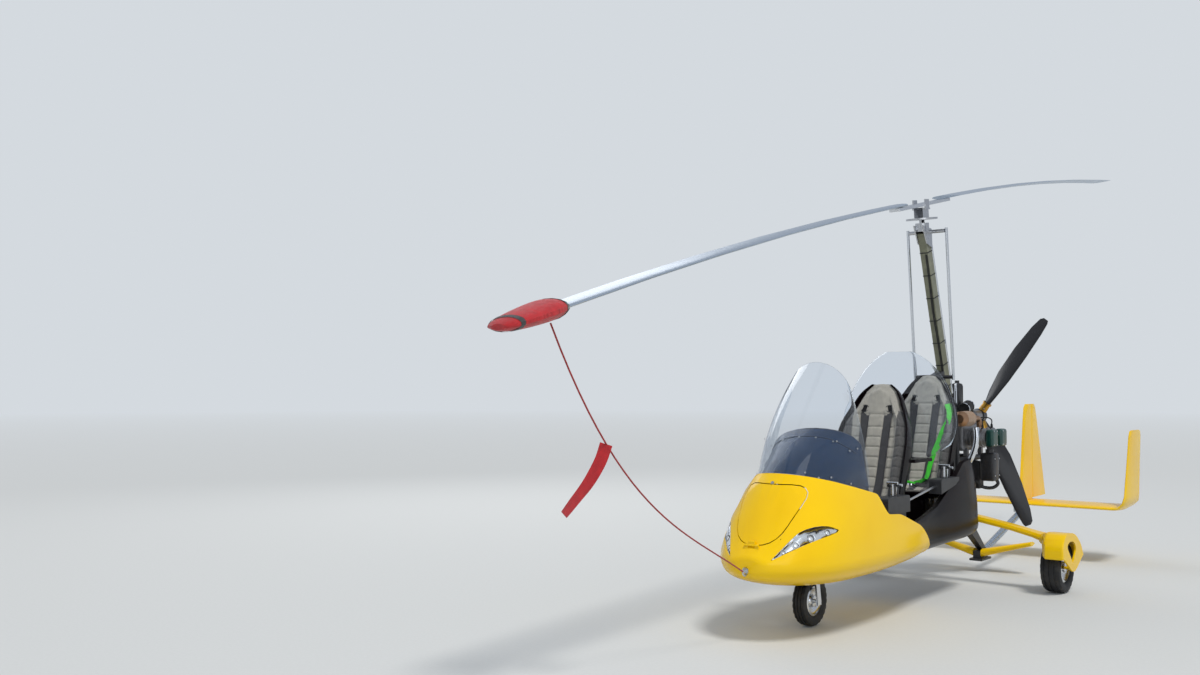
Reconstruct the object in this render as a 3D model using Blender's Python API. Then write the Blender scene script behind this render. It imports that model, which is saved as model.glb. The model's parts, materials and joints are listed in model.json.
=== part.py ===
"""Tandem two-seat open gyroplane, parked on its wheels with the rotor fore and aft.

Metres, +Z up, nose toward -Y, port side toward +X. The origin lies on the ground
below the rotor hub. Every sub-part is one object and one closed body.
"""
import math

import bmesh
import bpy
from mathutils import Matrix, Vector

for old in list(bpy.data.objects):
    bpy.data.objects.remove(old, do_unlink=True)

# Clearances shared by all pieces
seat_gap = 0.0003
pin_gap = 0.0006
cut_overrun = 0.03

# Places that the whole aircraft hangs on
hub_z = 2.630
nose_y = -2.285
brow_y = -1.968
brow_z = 0.896
sill_y = -1.300
sill_z = 0.738
screen_end_y = -1.450
body_end_y = 0.250
nose_axle_y = -1.600
main_axle_y = 0.410
half_track = 0.750
node_y = 1.000
node_z = 0.150
prop_y = 1.000
prop_z = 1.154
tail_z = 0.430
tail_front_y = 1.860
shaft_tilt = math.radians(7.0)
rotor_tilt = math.radians(11.9)

# Widest half width, belly and wall of the glass-fibre pod
pod_half_width = 0.390
pod_widest_z = 0.430
pod_wall = 0.006


def finish(name, colour, roughness, metallic=0.0):
    """A plain Principled material in the piece's own colour."""
    material = bpy.data.materials.new(name)
    material.use_nodes = True
    shader = material.node_tree.nodes["Principled BSDF"]
    shader.inputs["Base Color"].default_value = (*colour, 1.0)
    shader.inputs["Roughness"].default_value = roughness
    shader.inputs["Metallic"].default_value = metallic
    return material


yellow = finish("yellow_gelcoat", (0.90, 0.62, 0.01), 0.22)
black_gloss = finish("black_gelcoat", (0.015, 0.016, 0.020), 0.18)
navy = finish("navy_gelcoat", (0.020, 0.045, 0.085), 0.20)
dark_plastic = finish("dark_plastic", (0.035, 0.036, 0.040), 0.45)
clear = finish("clear_acrylic", (0.80, 0.86, 0.90), 0.05)
steel = finish("steel", (0.55, 0.56, 0.58), 0.30, 1.0)
alloy = finish("alloy", (0.72, 0.74, 0.77), 0.28, 1.0)
olive = finish("olive_paint", (0.20, 0.20, 0.13), 0.40, 0.3)
grey_cloth = finish("grey_cloth", (0.30, 0.30, 0.28), 0.85)
blade_grey = finish("blade_grey", (0.55, 0.62, 0.70), 0.30, 0.4)
red_cloth = finish("red_cloth", (0.62, 0.02, 0.03), 0.70)
rubber = finish("rubber", (0.020, 0.020, 0.022), 0.75)
cast_metal = finish("cast_metal", (0.30, 0.30, 0.31), 0.45, 0.9)
rust_brown = finish("heat_brown", (0.36, 0.20, 0.11), 0.45, 0.8)
matt_black = finish("matt_black", (0.020, 0.020, 0.022), 0.55)


def smooth_value(table, at):
    """Read a table of (place, value) pairs on a smooth curve through its points."""
    places = [row[0] for row in table]
    if at <= places[0]:
        return table[0][1]
    if at >= places[-1]:
        return table[-1][1]
    index = max(i for i, place in enumerate(places) if place <= at)
    index = min(index, len(table) - 2)

    def slope(i):
        if i == 0 or i == len(table) - 1:
            j = min(i, len(table) - 2)
            return (table[j + 1][1] - table[j][1]) / (table[j + 1][0] - table[j][0])
        left = (table[i][1] - table[i - 1][1]) / (table[i][0] - table[i - 1][0])
        right = (table[i + 1][1] - table[i][1]) / (table[i + 1][0] - table[i][0])
        if left * right <= 0:
            return 0.0
        return 2 * left * right / (left + right)

    (x0, y0), (x1, y1) = table[index], table[index + 1]
    span = x1 - x0
    t = (at - x0) / span
    return (
        (2 * t**3 - 3 * t**2 + 1) * y0
        + (t**3 - 2 * t**2 + t) * span * slope(index)
        + (3 * t**2 - 2 * t**3) * y1
        + (t**3 - t**2) * span * slope(index + 1)
    )


def loft(rings, capped=True, closed=False):
    """Skin equal rings of points, end to end, and cap or join the two ends."""
    shape = bmesh.new()
    rows = [[shape.verts.new(point) for point in ring] for ring in rings]
    pairs = list(zip(rows, rows[1:]))
    if closed:
        pairs.append((rows[-1], rows[0]))
    count = len(rings[0])
    for low, high in pairs:
        for i in range(count):
            j = (i + 1) % count
            shape.faces.new((low[i], low[j], high[j], high[i]))
    if capped and not closed:
        shape.faces.new(list(reversed(rows[0])))
        shape.faces.new(rows[-1])
    return outward(shape)


def outward(shape):
    """Turn all faces of a closed shape to the outside."""
    bmesh.ops.recalc_face_normals(shape, faces=shape.faces)
    if shape.calc_volume(signed=True) < 0:
        bmesh.ops.reverse_faces(shape, faces=shape.faces)
    return shape


def across(direction):
    """Two unit vectors square to a direction, the second as near +Z as it can be."""
    direction = Vector(direction).normalized()
    guide = Vector((0, 0, 1)) if abs(direction.z) < 0.95 else Vector((0, 1, 0))
    side = guide.cross(direction).normalized()
    return side, direction.cross(side).normalized()


def frames(points):
    """Side and up vectors along a route, carried from point to point without a twist."""
    pairs = []
    side = None
    for i in range(len(points)):
        run = (points[min(i + 1, len(points) - 1)] - points[max(i - 1, 0)]).normalized()
        if side is None:
            side, up = across(run)
        else:
            side = (side - run * side.dot(run)).normalized()
            up = run.cross(side).normalized()
        pairs.append((side, up))
    return pairs


def tube(points, radius, sides=12, flat=1.0):
    """A round bar along a route; flat squeezes its height."""
    points = [Vector(p) for p in points]
    rings = []
    for i, (point, (side, up)) in enumerate(zip(points, frames(points))):
        size = radius[i] if isinstance(radius, (list, tuple)) else radius
        ring = []
        for k in range(sides):
            angle = 2 * math.pi * (k + 0.5) / sides
            ring.append(point + side * size * math.cos(angle) + up * size * flat * math.sin(angle))
        rings.append(ring)
    return loft(rings)


def bent(corners, radius, steps=5):
    """Round the inner corners of a route with arcs that follow a named radius."""
    corners = [Vector(c) for c in corners]
    route = [corners[0]]
    for before, corner, after in zip(corners, corners[1:], corners[2:]):
        back = before - corner
        ahead = after - corner
        reach = min(radius, back.length / 2, ahead.length / 2)
        start = corner + back.normalized() * reach
        end = corner + ahead.normalized() * reach
        for k in range(steps + 1):
            t = k / steps
            route.append(start * (1 - t) ** 2 + corner * 2 * t * (1 - t) + end * t**2)
    route.append(corners[-1])
    return route


def beam(points, width, height):
    """A rectangular bar along a route."""
    points = [Vector(p) for p in points]
    rings = []
    for i, (point, (side, up)) in enumerate(zip(points, frames(points))):
        wide = width[i] if isinstance(width, (list, tuple)) else width
        tall = height[i] if isinstance(height, (list, tuple)) else height
        corners = ((1, 1), (-1, 1), (-1, -1), (1, -1))
        rings.append([point + side * wide / 2 * a + up * tall / 2 * b for a, b in corners])
    return loft(rings)


def block(low, high, round_edge=0.0):
    """A box from its two corners, with rounded edges if asked."""
    low, high = Vector(low), Vector(high)
    shape = bmesh.new()
    size = high - low
    middle = (low + high) / 2
    place = Matrix.Translation(middle) @ Matrix.Diagonal((*size, 1.0))
    bmesh.ops.create_cube(shape, size=1.0, matrix=place)
    if round_edge:
        bmesh.ops.bevel(
            shape, geom=shape.edges[:], offset=round_edge, segments=2,
            profile=0.5, affect="EDGES", clamp_overlap=True, material=-1,
        )
    return outward(shape)


def turned(profile, place, axis, sides=24, closed=False):
    """Turn (radius, along) points round an axis through a place."""
    axis = Vector(axis).normalized()
    side, up = across(axis)
    place = Vector(place)
    rings = []
    for radius, along in profile:
        ring = []
        for k in range(sides):
            angle = 2 * math.pi * (k + 0.5) / sides
            ring.append(place + axis * along + (side * math.cos(angle) + up * math.sin(angle)) * radius)
        rings.append(ring)
    return loft(rings, closed=closed)


def plate(outline, axis, low, high):
    """An outline of (a, b) points made solid along X, Y or Z between two places."""
    order = {"X": lambda a, b, h: (h, a, b), "Y": lambda a, b, h: (a, h, b), "Z": lambda a, b, h: (a, b, h)}[axis]
    return loft([[order(a, b, h) for a, b in outline] for h in (low, high)])


def rounded(corners, radius, steps=4):
    """Round the corners of a flat outline."""
    outline = []
    count = len(corners)
    for i in range(count):
        before = Vector(corners[i - 1])
        corner = Vector(corners[i])
        after = Vector(corners[(i + 1) % count])
        back, ahead = before - corner, after - corner
        size = radius[i] if isinstance(radius, (list, tuple)) else radius
        if size == 0:
            outline.append((corner.x, corner.y))
            continue
        reach = min(size, back.length / 2.02, ahead.length / 2.02)
        start = corner + back.normalized() * reach
        end = corner + ahead.normalized() * reach
        for k in range(steps + 1):
            t = k / steps
            point = start * (1 - t) ** 2 + corner * 2 * t * (1 - t) + end * t**2
            outline.append((point.x, point.y))
    return outline


def combined(first, others, operation):
    """Join, cut or overlap closed shapes with the exact solver; returns a new shape."""
    result = first
    for other in others:
        pair = []
        for shape in (result, other):
            mesh = bpy.data.meshes.new("working")
            shape.to_mesh(mesh)
            shape.free()
            item = bpy.data.objects.new("working", mesh)
            bpy.context.scene.collection.objects.link(item)
            pair.append(item)
        step = pair[0].modifiers.new("step", "BOOLEAN")
        step.operation = operation
        step.solver = "EXACT"
        step.object = pair[1]
        bpy.context.view_layer.update()
        view = bpy.context.evaluated_depsgraph_get()
        mesh = bpy.data.meshes.new_from_object(pair[0].evaluated_get(view))
        result = bmesh.new()
        result.from_mesh(mesh)
        for item in pair:
            data = item.data
            bpy.data.objects.remove(item, do_unlink=True)
            bpy.data.meshes.remove(data)
        bpy.data.meshes.remove(mesh)
    return result


def fused(shapes):
    return combined(shapes[0], shapes[1:], "UNION")


def cut(body, *tools):
    return combined(body, list(tools), "DIFFERENCE")


def mirrored(shape):
    """The same shape on the other side of the centre plane."""
    twin = shape.copy()
    bmesh.ops.scale(twin, vec=(-1, 1, 1), verts=twin.verts)
    bmesh.ops.reverse_faces(twin, faces=twin.faces)
    return twin


def pivot(name, place, parent=None):
    """An empty on a joint's axis that the moving pieces hang on."""
    empty = bpy.data.objects.new(name, None)
    empty.location = place
    bpy.context.scene.collection.objects.link(empty)
    if parent is not None:
        empty.parent = parent
        empty.matrix_parent_inverse = Matrix.Translation(-Vector(parent["place"]))
    empty["place"] = tuple(place)
    return empty


def add(name, shape, material, on=None, crease=math.radians(35)):
    """Make the shape one named object of the aircraft."""
    mesh = bpy.data.meshes.new(name)
    shape.to_mesh(mesh)
    shape.free()
    mesh.materials.append(material)
    mesh.shade_smooth()
    mesh.set_sharp_from_angle(angle=crease)
    item = bpy.data.objects.new(name, mesh)
    bpy.context.scene.collection.objects.link(item)
    if on is not None:
        item.parent = on
        item.matrix_parent_inverse = Matrix.Translation(-Vector(on["place"]))
    return item


# Fuselage form, shared by the pod and the black body that nests in it.
# Columns: station y, belly z, crown z, half width at the widest.
body_form = [
    (nose_y + 0.005, 0.385, 0.450, 0.058),
    (-2.255, 0.352, 0.480, 0.128),
    (-2.200, 0.328, 0.545, 0.208),
    (-2.100, 0.303, 0.715, 0.282),
    (-2.000, 0.288, 0.850, 0.326),
    (-1.900, 0.277, 0.955, 0.354),
    (-1.780, 0.268, 1.030, 0.373),
    (-1.600, 0.262, 1.070, pod_half_width - 0.004),
    (screen_end_y, 0.262, 1.080, pod_half_width),
    (sill_y, 0.264, 1.080, pod_half_width),
    (-1.100, 0.270, 1.080, pod_half_width - 0.006),
    (-0.900, 0.280, 1.080, pod_half_width - 0.020),
    (-0.720, 0.296, 1.080, pod_half_width - 0.045),
    (-0.500, 0.306, 1.080, pod_half_width - 0.055),
    (-0.250, 0.316, 1.320, pod_half_width - 0.055),
    (0.000, 0.320, 1.420, pod_half_width - 0.060),
    (0.150, 0.323, 1.420, pod_half_width - 0.075),
    (body_end_y, 0.330, 1.420, pod_half_width - 0.105),
]
belly_fullness = 2.4
crown_fullness = 1.8
ring_quarter = 8


def body_ring(station, inset=0.0):
    """The closed section at one station, from the belly up the port side and round."""
    y, belly, crown, wide = station
    belly, crown, wide = belly + inset, crown - inset, wide - inset
    port = []
    for k in range(ring_quarter + 1):
        angle = math.pi / 2 * k / ring_quarter
        x = wide * math.sin(angle) ** (2 / belly_fullness)
        z = pod_widest_z - (pod_widest_z - belly) * math.cos(angle) ** (2 / belly_fullness)
        port.append((x, z))
    for k in range(1, ring_quarter + 1):
        angle = math.pi / 2 * k / ring_quarter
        x = wide * max(math.cos(angle), 0.0) ** (2 / crown_fullness)
        z = pod_widest_z + (crown - pod_widest_z) * math.sin(angle) ** (2 / crown_fullness)
        port.append((x, z))
    starboard = [(-x, z) for x, z in reversed(port[1:-1])]
    return [Vector((x, y, z)) for x, z in port + starboard]


def side_at(station, height, inset=0.0):
    """Half width of a station's section at one height above its widest place."""
    ring = body_ring(station, inset)[: 2 * ring_quarter + 1]
    for low, high in zip(ring[ring_quarter:], ring[ring_quarter + 1:]):
        if low.z <= height <= high.z:
            share = (height - low.z) / (high.z - low.z)
            return low.x + (high.x - low.x) * share
    return ring[ring_quarter].x


def rim_height(y):
    """The pod's sloping rim, straight in side view from the brow to the sill."""
    return brow_z + (sill_z - brow_z) * (y - brow_y) / (sill_y - brow_y)


# Nose pod, its hatch and its lamps
lobe_top_z = 0.638
lobe_flat = 0.170
lobe_fall = 0.012
lobe_slope_y = -0.815
lobe_slope_z = 0.515
lobe_tip_y = -0.690
lobe_tip_z = 0.405
lobe_rounding = 0.120
pod_tail_y = -0.640
pod_cut_end_y = 0.100
step_back_y = -1.325
sill_corner_y = -1.378
sill_rounding = 0.020
step_rounding = 0.035
well_half_length = 0.235
well_half_width = 0.150
well_rounding = 0.135
well_depth = 0.120
hatch_top_z = 0.835
hatch_low_z = 0.528
hatch_half_top = 0.215
hatch_half_low = 0.125
hatch_corner = 0.110
hatch_seam = 0.005
hatch_depth_y = -1.700
hinge_pin_radius = 0.003
hinge_wall = 0.003
hinge_stand_off = 0.012
hinge_leaf = 0.020
hinge_half_length = 0.045
hinge_barrel_half = 0.020
lamp_inner_x = 0.125
lamp_outer_x = 0.345
lamp_low_z = 0.455
lamp_high_z = 0.632
lamp_depth = 0.045
lamp_back_y = -1.720
lens_inset = 0.001
lamp_corner_shares = [
    # across, up, rounding as a share of the lamp's height
    (0.00, 0.00, 0.05),
    (0.53, 0.42, 0.34),
    (1.00, 0.78, 0.17),
    (0.78, 1.00, 0.23),
    (0.44, 0.88, 0.28),
]


def grown(outline, margin):
    """A counter-clockwise flat outline moved outward by a margin all round."""
    count = len(outline)
    moved = []
    for i in range(count):
        before = Vector(outline[i - 1])
        here = Vector(outline[i])
        after = Vector(outline[(i + 1) % count])
        first = (here - before).normalized()
        second = (after - here).normalized()
        turn = max(1 + first.dot(second), 0.2)
        away = Vector((first.y + second.y, -first.x - second.x)) / turn
        moved.append(tuple(here + away * margin))
    return moved


def hatch_outline(grow):
    """The nose hatch seen from ahead, grown by a margin."""
    corners = [
        (-hatch_half_low, hatch_low_z),
        (hatch_half_low, hatch_low_z),
        (hatch_half_top, hatch_top_z),
        (-hatch_half_top, hatch_top_z),
    ]
    return grown(rounded(corners, hatch_corner, 5), grow)


def lamp_outline(grow):
    """The swept headlamp seen from ahead on the port side, grown by a margin."""
    wide, tall = lamp_outer_x - lamp_inner_x, lamp_high_z - lamp_low_z
    corners = []
    for across_share, up_share, _ in lamp_corner_shares:
        corners.append((lamp_inner_x + wide * across_share, lamp_low_z + tall * up_share))
    radii = [tall * row[2] for row in lamp_corner_shares]
    return grown(rounded(corners, radii, 3), grow)


def form_solid(stations, inset, ends=0.0):
    """The fuselage form between stations as one solid, its ends drawn in as well."""
    rings = [body_ring(s, inset) for s in stations]
    rings[0] = [p + Vector((0, ends, 0)) for p in rings[0]]
    rings[-1] = [p - Vector((0, ends, 0)) for p in rings[-1]]
    return loft(rings)


def pod_opening():
    """Side view of all that is open above the rim and behind the pod's lobes."""
    high = body_form[-1][2] + cut_overrun * 4
    front = brow_y - cut_overrun * 4
    low = body_form[8][1] - cut_overrun * 2
    corners_and_rounding = [
        ((pod_cut_end_y, high), 0),
        ((front, high), 0),
        ((front, rim_height(front)), 0),
        ((sill_corner_y, rim_height(sill_corner_y)), sill_rounding),
        ((step_back_y, lobe_top_z), step_rounding),
        ((step_back_y + lobe_flat, lobe_top_z - lobe_fall), step_rounding),
        ((lobe_slope_y, lobe_slope_z), lobe_rounding),
        ((lobe_tip_y, lobe_tip_z), lobe_rounding),
        ((pod_tail_y, low), 0),
        ((pod_cut_end_y, low), 0),
    ]
    outline = rounded([c for c, _ in corners_and_rounding], [r for _, r in corners_and_rounding])
    wide = pod_half_width + cut_overrun
    return plate(outline, "X", -wide, wide)


def wheel_well():
    half_x, half_y = well_half_width, well_half_length
    corners = [
        (-half_x, nose_axle_y - half_y),
        (half_x, nose_axle_y - half_y),
        (half_x, nose_axle_y + half_y),
        (-half_x, nose_axle_y + half_y),
    ]
    low = body_form[8][1] - cut_overrun
    return plate(rounded(corners, well_rounding, 5), "Z", low, low + well_depth)


def lamp_tool(side, grow):
    outline = [(x * side, z) for x, z in lamp_outline(grow)]
    return plate(outline, "Y", nose_y - cut_overrun, lamp_back_y)


def hatch_tool(grow):
    return plate(hatch_outline(grow), "Y", nose_y - cut_overrun, hatch_depth_y)


def hinge_place():
    """The hatch's hinge line, just outside the skin at its lower edge."""
    z = hatch_low_z - hatch_seam / 2
    table = [(station[2], station[0]) for station in body_form[:7]]
    return Vector((0, smooth_value(table, z) - hinge_stand_off, z))


def hinge_leaf_solid(low_x, high_x, side):
    """One leaf of the hatch hinge from its barrel to the skin."""
    place = hinge_place()
    far = place.z + side * hinge_leaf
    low = (low_x, place.y - hinge_wall, min(place.z, far))
    high = (high_x, place.y + hinge_stand_off + pod_wall, max(place.z, far))
    barrel = turned(
        [(hinge_pin_radius + pin_gap + hinge_wall, low_x), (hinge_pin_radius + pin_gap + hinge_wall, high_x)],
        place, (1, 0, 0), 12,
    )
    return [barrel, block(low, high)]


def make_pod():
    stations = body_form[:14]
    inner = form_solid(stations, pod_wall, pod_wall)
    shell = form_solid(stations, 0.0)
    tools = [lamp_tool(1, seat_gap), lamp_tool(-1, seat_gap), hatch_tool(hatch_seam)]
    shell = cut(shell, *tools, wheel_well(), pod_opening(), inner.copy())
    place = hinge_place()
    pin = turned(
        [(hinge_pin_radius, -hinge_half_length), (hinge_pin_radius, hinge_half_length)], place, (1, 0, 0), 12,
    )
    lugs = []
    for side in (-1, 1):
        ends = sorted((side * (hinge_barrel_half + pin_gap), side * hinge_half_length))
        lugs += hinge_leaf_solid(ends[0], ends[1], -1)
    shell = fused([shell, *lugs, pin])
    add("nose_pod", shell, yellow)

    pane = combined(form_solid(stations, 0.0), [hatch_tool(0.0)], "INTERSECT")
    pane = cut(pane, inner)
    pane = fused([pane, *hinge_leaf_solid(-hinge_barrel_half, hinge_barrel_half, 1)])
    reach = hinge_barrel_half + cut_overrun
    bore = turned([(hinge_pin_radius + pin_gap, -reach), (hinge_pin_radius + pin_gap, reach)], place, (1, 0, 0), 12)
    pane = cut(pane, bore)
    hatch_pivot = pivot("nose_hatch_pivot", place)
    add("nose_hatch", pane, yellow, hatch_pivot)

    for side, label in ((1, "port"), (-1, "starboard")):
        lens = combined(form_solid(stations, lens_inset), [lamp_tool(side, -seat_gap)], "INTERSECT")
        lens = cut(lens, form_solid(stations, lamp_depth, lamp_depth))
        add(f"headlamp_{label}", lens, clear)


# Windscreens, instrument cowl and panel
screen_wall = 0.003
screen_inset = 0.0015
screen_core_y = -1.200
front_screen_half_share = 0.513
front_screen_foot_y = -1.440
front_screen_foot_z = 1.330
front_screen_top_z = 1.520
front_screen_lean = 0.070
front_screen_bulge = 0.045
cowl_wall = 0.004
cowl_inset = 0.016
cowl_top_z = 1.130
cowl_lean = 0.070
cowl_shoulder_share = 0.16
cowl_bulge = 0.012
panel_thickness = 0.012
arch_fullness_share = 0.30
rear_screen_front_y = -0.520
rear_screen_lean = 0.130
rear_screen_wrap = 0.080
rear_screen_low_z = 0.920
rear_screen_top_z = 1.615
rear_screen_half = 0.404
rear_screen_shares = [
    # height share, half width share
    (0.00, 0.62),
    (0.12, 0.92),
    (0.25, 1.00),
    (0.42, 0.97),
    (0.58, 0.88),
    (0.72, 0.76),
    (0.84, 0.60),
    (0.93, 0.42),
    (0.985, 0.22),
]


def rim_path(end_y, inset, lift):
    """Points on the pod's rim, from the starboard side over the brow to port."""
    port = []
    for station in body_form:
        if brow_y + cut_overrun < station[0] <= end_y:
            height = rim_height(station[0])
            port.append(Vector((side_at(station, height, inset), station[0], height + lift)))
    front = brow_y + inset
    middle = Vector((0, front, rim_height(front) + lift))
    quarter = port[0].lerp(middle, 0.5) + Vector((0, -(port[0].y - middle.y) * 0.30, 0))
    quarter.z = rim_height(quarter.y) + lift
    port.insert(0, quarter)
    return [Vector((-p.x, p.y, p.z)) for p in reversed(port)] + [middle] + port


def arch(count, half_width, y, foot_z, crown_z, lean, fullness):
    """An arch of points from starboard to port over the centre line."""
    points = []
    for k in range(count):
        angle = math.pi * (k / (count - 1) - 0.5)
        rise = max(math.cos(angle), 0.0) ** fullness
        z = foot_z + (crown_z - foot_z) * rise
        points.append(Vector((half_width * math.sin(angle), y - lean * rise, z)))
    return points


def wall_way(rows, j, i, core_y):
    """Unit vector out of a sheet at one of its points; level along its first row."""
    row = rows[j]
    away = Vector((row[i].x, row[i].y - core_y, 0)).normalized()
    if j == 0:
        return away
    along = row[min(i + 1, len(row) - 1)] - row[max(i - 1, 0)]
    climb = rows[min(j + 1, len(rows) - 1)][i] - rows[j - 1][i]
    out = along.cross(climb).normalized()
    return out if out.dot(away + Vector((0, 0, 1))) > 0 else -out


def sheet(rows, wall, core_y):
    """A thin closed sheet from rows of outer points, with its wall inside them."""
    rings = []
    for j, row in enumerate(rows):
        inner = [point - wall_way(rows, j, i, core_y) * wall for i, point in enumerate(row)]
        rings.append(row + list(reversed(inner)))
    return loft(rings)


def between(base, top, bulge, rows, core_y):
    """Rows of points from one edge to another, swollen outward between them."""
    grid = []
    for j in range(rows + 1):
        t = j / rows
        row = []
        for low, high in zip(base, top):
            point = low.lerp(high, t)
            away = Vector((point.x, point.y - core_y, 0)).normalized()
            row.append(point + away * bulge * 4 * t * (1 - t))
        grid.append(row)
    return grid


def make_screens():
    base = rim_path(screen_end_y, screen_inset, seat_gap)
    top = arch(len(base), pod_half_width * front_screen_half_share, front_screen_foot_y, front_screen_foot_z,
               front_screen_top_z, front_screen_lean, 1.0)
    rows = between(base, top, front_screen_bulge, 6, screen_core_y)
    add("front_windscreen", sheet(rows, screen_wall, screen_core_y), clear)

    base = rim_path(screen_end_y, cowl_inset, seat_gap)
    foot = base[-1]
    low = cowl_shoulder_share
    top = arch(len(base), foot.x, screen_end_y + seat_gap - cowl_lean * low, foot.z + (cowl_top_z - foot.z) * low,
               cowl_top_z, cowl_lean * (1 - low), arch_fullness_share)
    rows = between(base, top, cowl_bulge, 5, screen_core_y)
    add("instrument_cowl", sheet(rows, cowl_wall, screen_core_y), navy)

    last = len(rows) - 1
    depths = [-wall_way(rows, last, i, screen_core_y).y * cowl_wall for i in range(len(rows[last]))]
    panel_y = screen_end_y + max(depths) + seat_gap * 2
    edge = arch(15, foot.x, panel_y, foot.z, cowl_top_z, cowl_lean, arch_fullness_share)
    normal = Vector((0, cowl_top_z - foot.z, cowl_lean)).normalized()
    rings = [[p + normal * step for p in edge] for step in (0.0, panel_thickness)]
    add("instrument_panel", loft(rings), dark_plastic)

    rows = []
    span = rear_screen_top_z - rear_screen_low_z
    for height_share, width_share in rear_screen_shares:
        z = rear_screen_low_z + span * height_share
        row = []
        for k in range(15):
            angle = math.pi * (k / 14 - 0.5)
            wrap = rear_screen_wrap * width_share * (1 - math.cos(angle))
            y = rear_screen_front_y + rear_screen_lean * height_share + wrap
            row.append(Vector((rear_screen_half * width_share * math.sin(angle), y, z)))
        rows.append(row)
    add("rear_windscreen", sheet(rows, screen_wall, rear_screen_front_y + rear_screen_half), clear)


# Black fuselage tub that nests in the pod and carries both seats
tub_floor_z = 0.345
tub_inset = pod_wall + 0.0008
tub_rim_table = [
    # station y, rim height z, wall thickness
    (sill_y, 0.555, 0.016),
    (-1.100, 0.562, 0.020),
    (-0.900, 0.560, 0.026),
    (-0.720, 0.575, 0.028),
    (-0.500, 0.615, 0.032),
    (-0.250, 0.735, 0.036),
    (0.000, 0.865, 0.030),
    (0.150, 0.878, 0.030),
    (body_end_y, 0.830, 0.030),
]


def clipped(ring, height):
    """The belly-up port half of a section, cut straight off at a height."""
    half = ring[: 2 * ring_quarter + 1]
    kept = [p for p in half if p.z < height]
    last, above = kept[-1], half[len(kept)]
    share = (height - last.z) / (above.z - last.z)
    return kept + [last.lerp(above, share)]


def make_tub():
    rings = []
    stations = {round(s[0], 4): s for s in body_form}
    for y, rim, wall in tub_rim_table:
        station = stations[round(y, 4)]
        outer = clipped(body_ring(station, tub_inset), rim)
        keep = len(outer)
        while keep < 2 * ring_quarter:
            outer.insert(-1, outer[-2].lerp(outer[-1], 0.5))
            keep += 1
        inner = []
        for point in outer:
            x = max(point.x - wall, 0.0)
            inner.append(Vector((x, y, max(point.z, tub_floor_z))))
        port = list(reversed(outer))
        starboard = [Vector((-p.x, p.y, p.z)) for p in outer[1:]]
        inner_port = [p for p in inner[1:]]
        inner_starboard = [Vector((-p.x, p.y, p.z)) for p in reversed(inner_port)]
        rings.append(port + starboard + inner_starboard + inner_port)
    add("fuselage_tub", loft(rings), black_gloss)


# Seats: a black shell on a foot, with a padded cushion in it
front_hip_y = -0.860
front_hip_z = 0.600
rear_hip_y = -0.110
rear_hip_z = 0.660
seat_wall = 0.010
pad_gap = 0.0008
pad_thickness = 0.045
seat_half_width = 0.232
seat_foot_half = 0.120
seat_foot_length = 0.200
fairing_depth = 0.055
fairing_shares = (0, 0, 0, 0.25, 0.7, 1.0, 1.0, 1.0, 0.9, 0.7, 0.4, 0)
ledge_half = 0.262
ledge_height = 0.022
ledge_reach = 0.130
seat_table = [
    # forward/aft and up from the hip, half width share, wing depth
    (-0.300, 0.030, 0.86, 0.030),
    (-0.200, -0.005, 0.94, 0.045),
    (-0.090, -0.018, 0.98, 0.060),
    (-0.015, 0.012, 1.00, 0.075),
    (0.035, 0.100, 1.00, 0.085),
    (0.080, 0.230, 1.00, 0.090),
    (0.130, 0.390, 1.03, 0.088),
    (0.175, 0.530, 0.95, 0.075),
    (0.205, 0.630, 0.72, 0.055),
    (0.225, 0.700, 0.62, 0.045),
    (0.238, 0.755, 0.52, 0.036),
    (0.245, 0.790, 0.30, 0.026),
]


def seat_frames(hip_y, hip_z):
    """Place, forward direction, half width and wing depth at each seat section."""
    frames = []
    points = [Vector((0, hip_y + row[0], hip_z + row[1])) for row in seat_table]
    for i, row in enumerate(seat_table):
        before, after = points[max(i - 1, 0)], points[min(i + 1, len(points) - 1)]
        run = (after - before).normalized()
        toward = Vector((0, -run.z, run.y))
        frames.append((points[i], toward, seat_half_width * row[2], row[3]))
    return frames


def seat_ring(frame, outline):
    place, toward, _, _ = frame
    return [place + Vector((x, 0, 0)) + toward * n for x, n in outline]


def both_sides(half):
    """A section's port half, from the wing to the middle, completed to starboard."""
    return half + [(-x, n) for x, n in reversed(half[:-1])]


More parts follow.
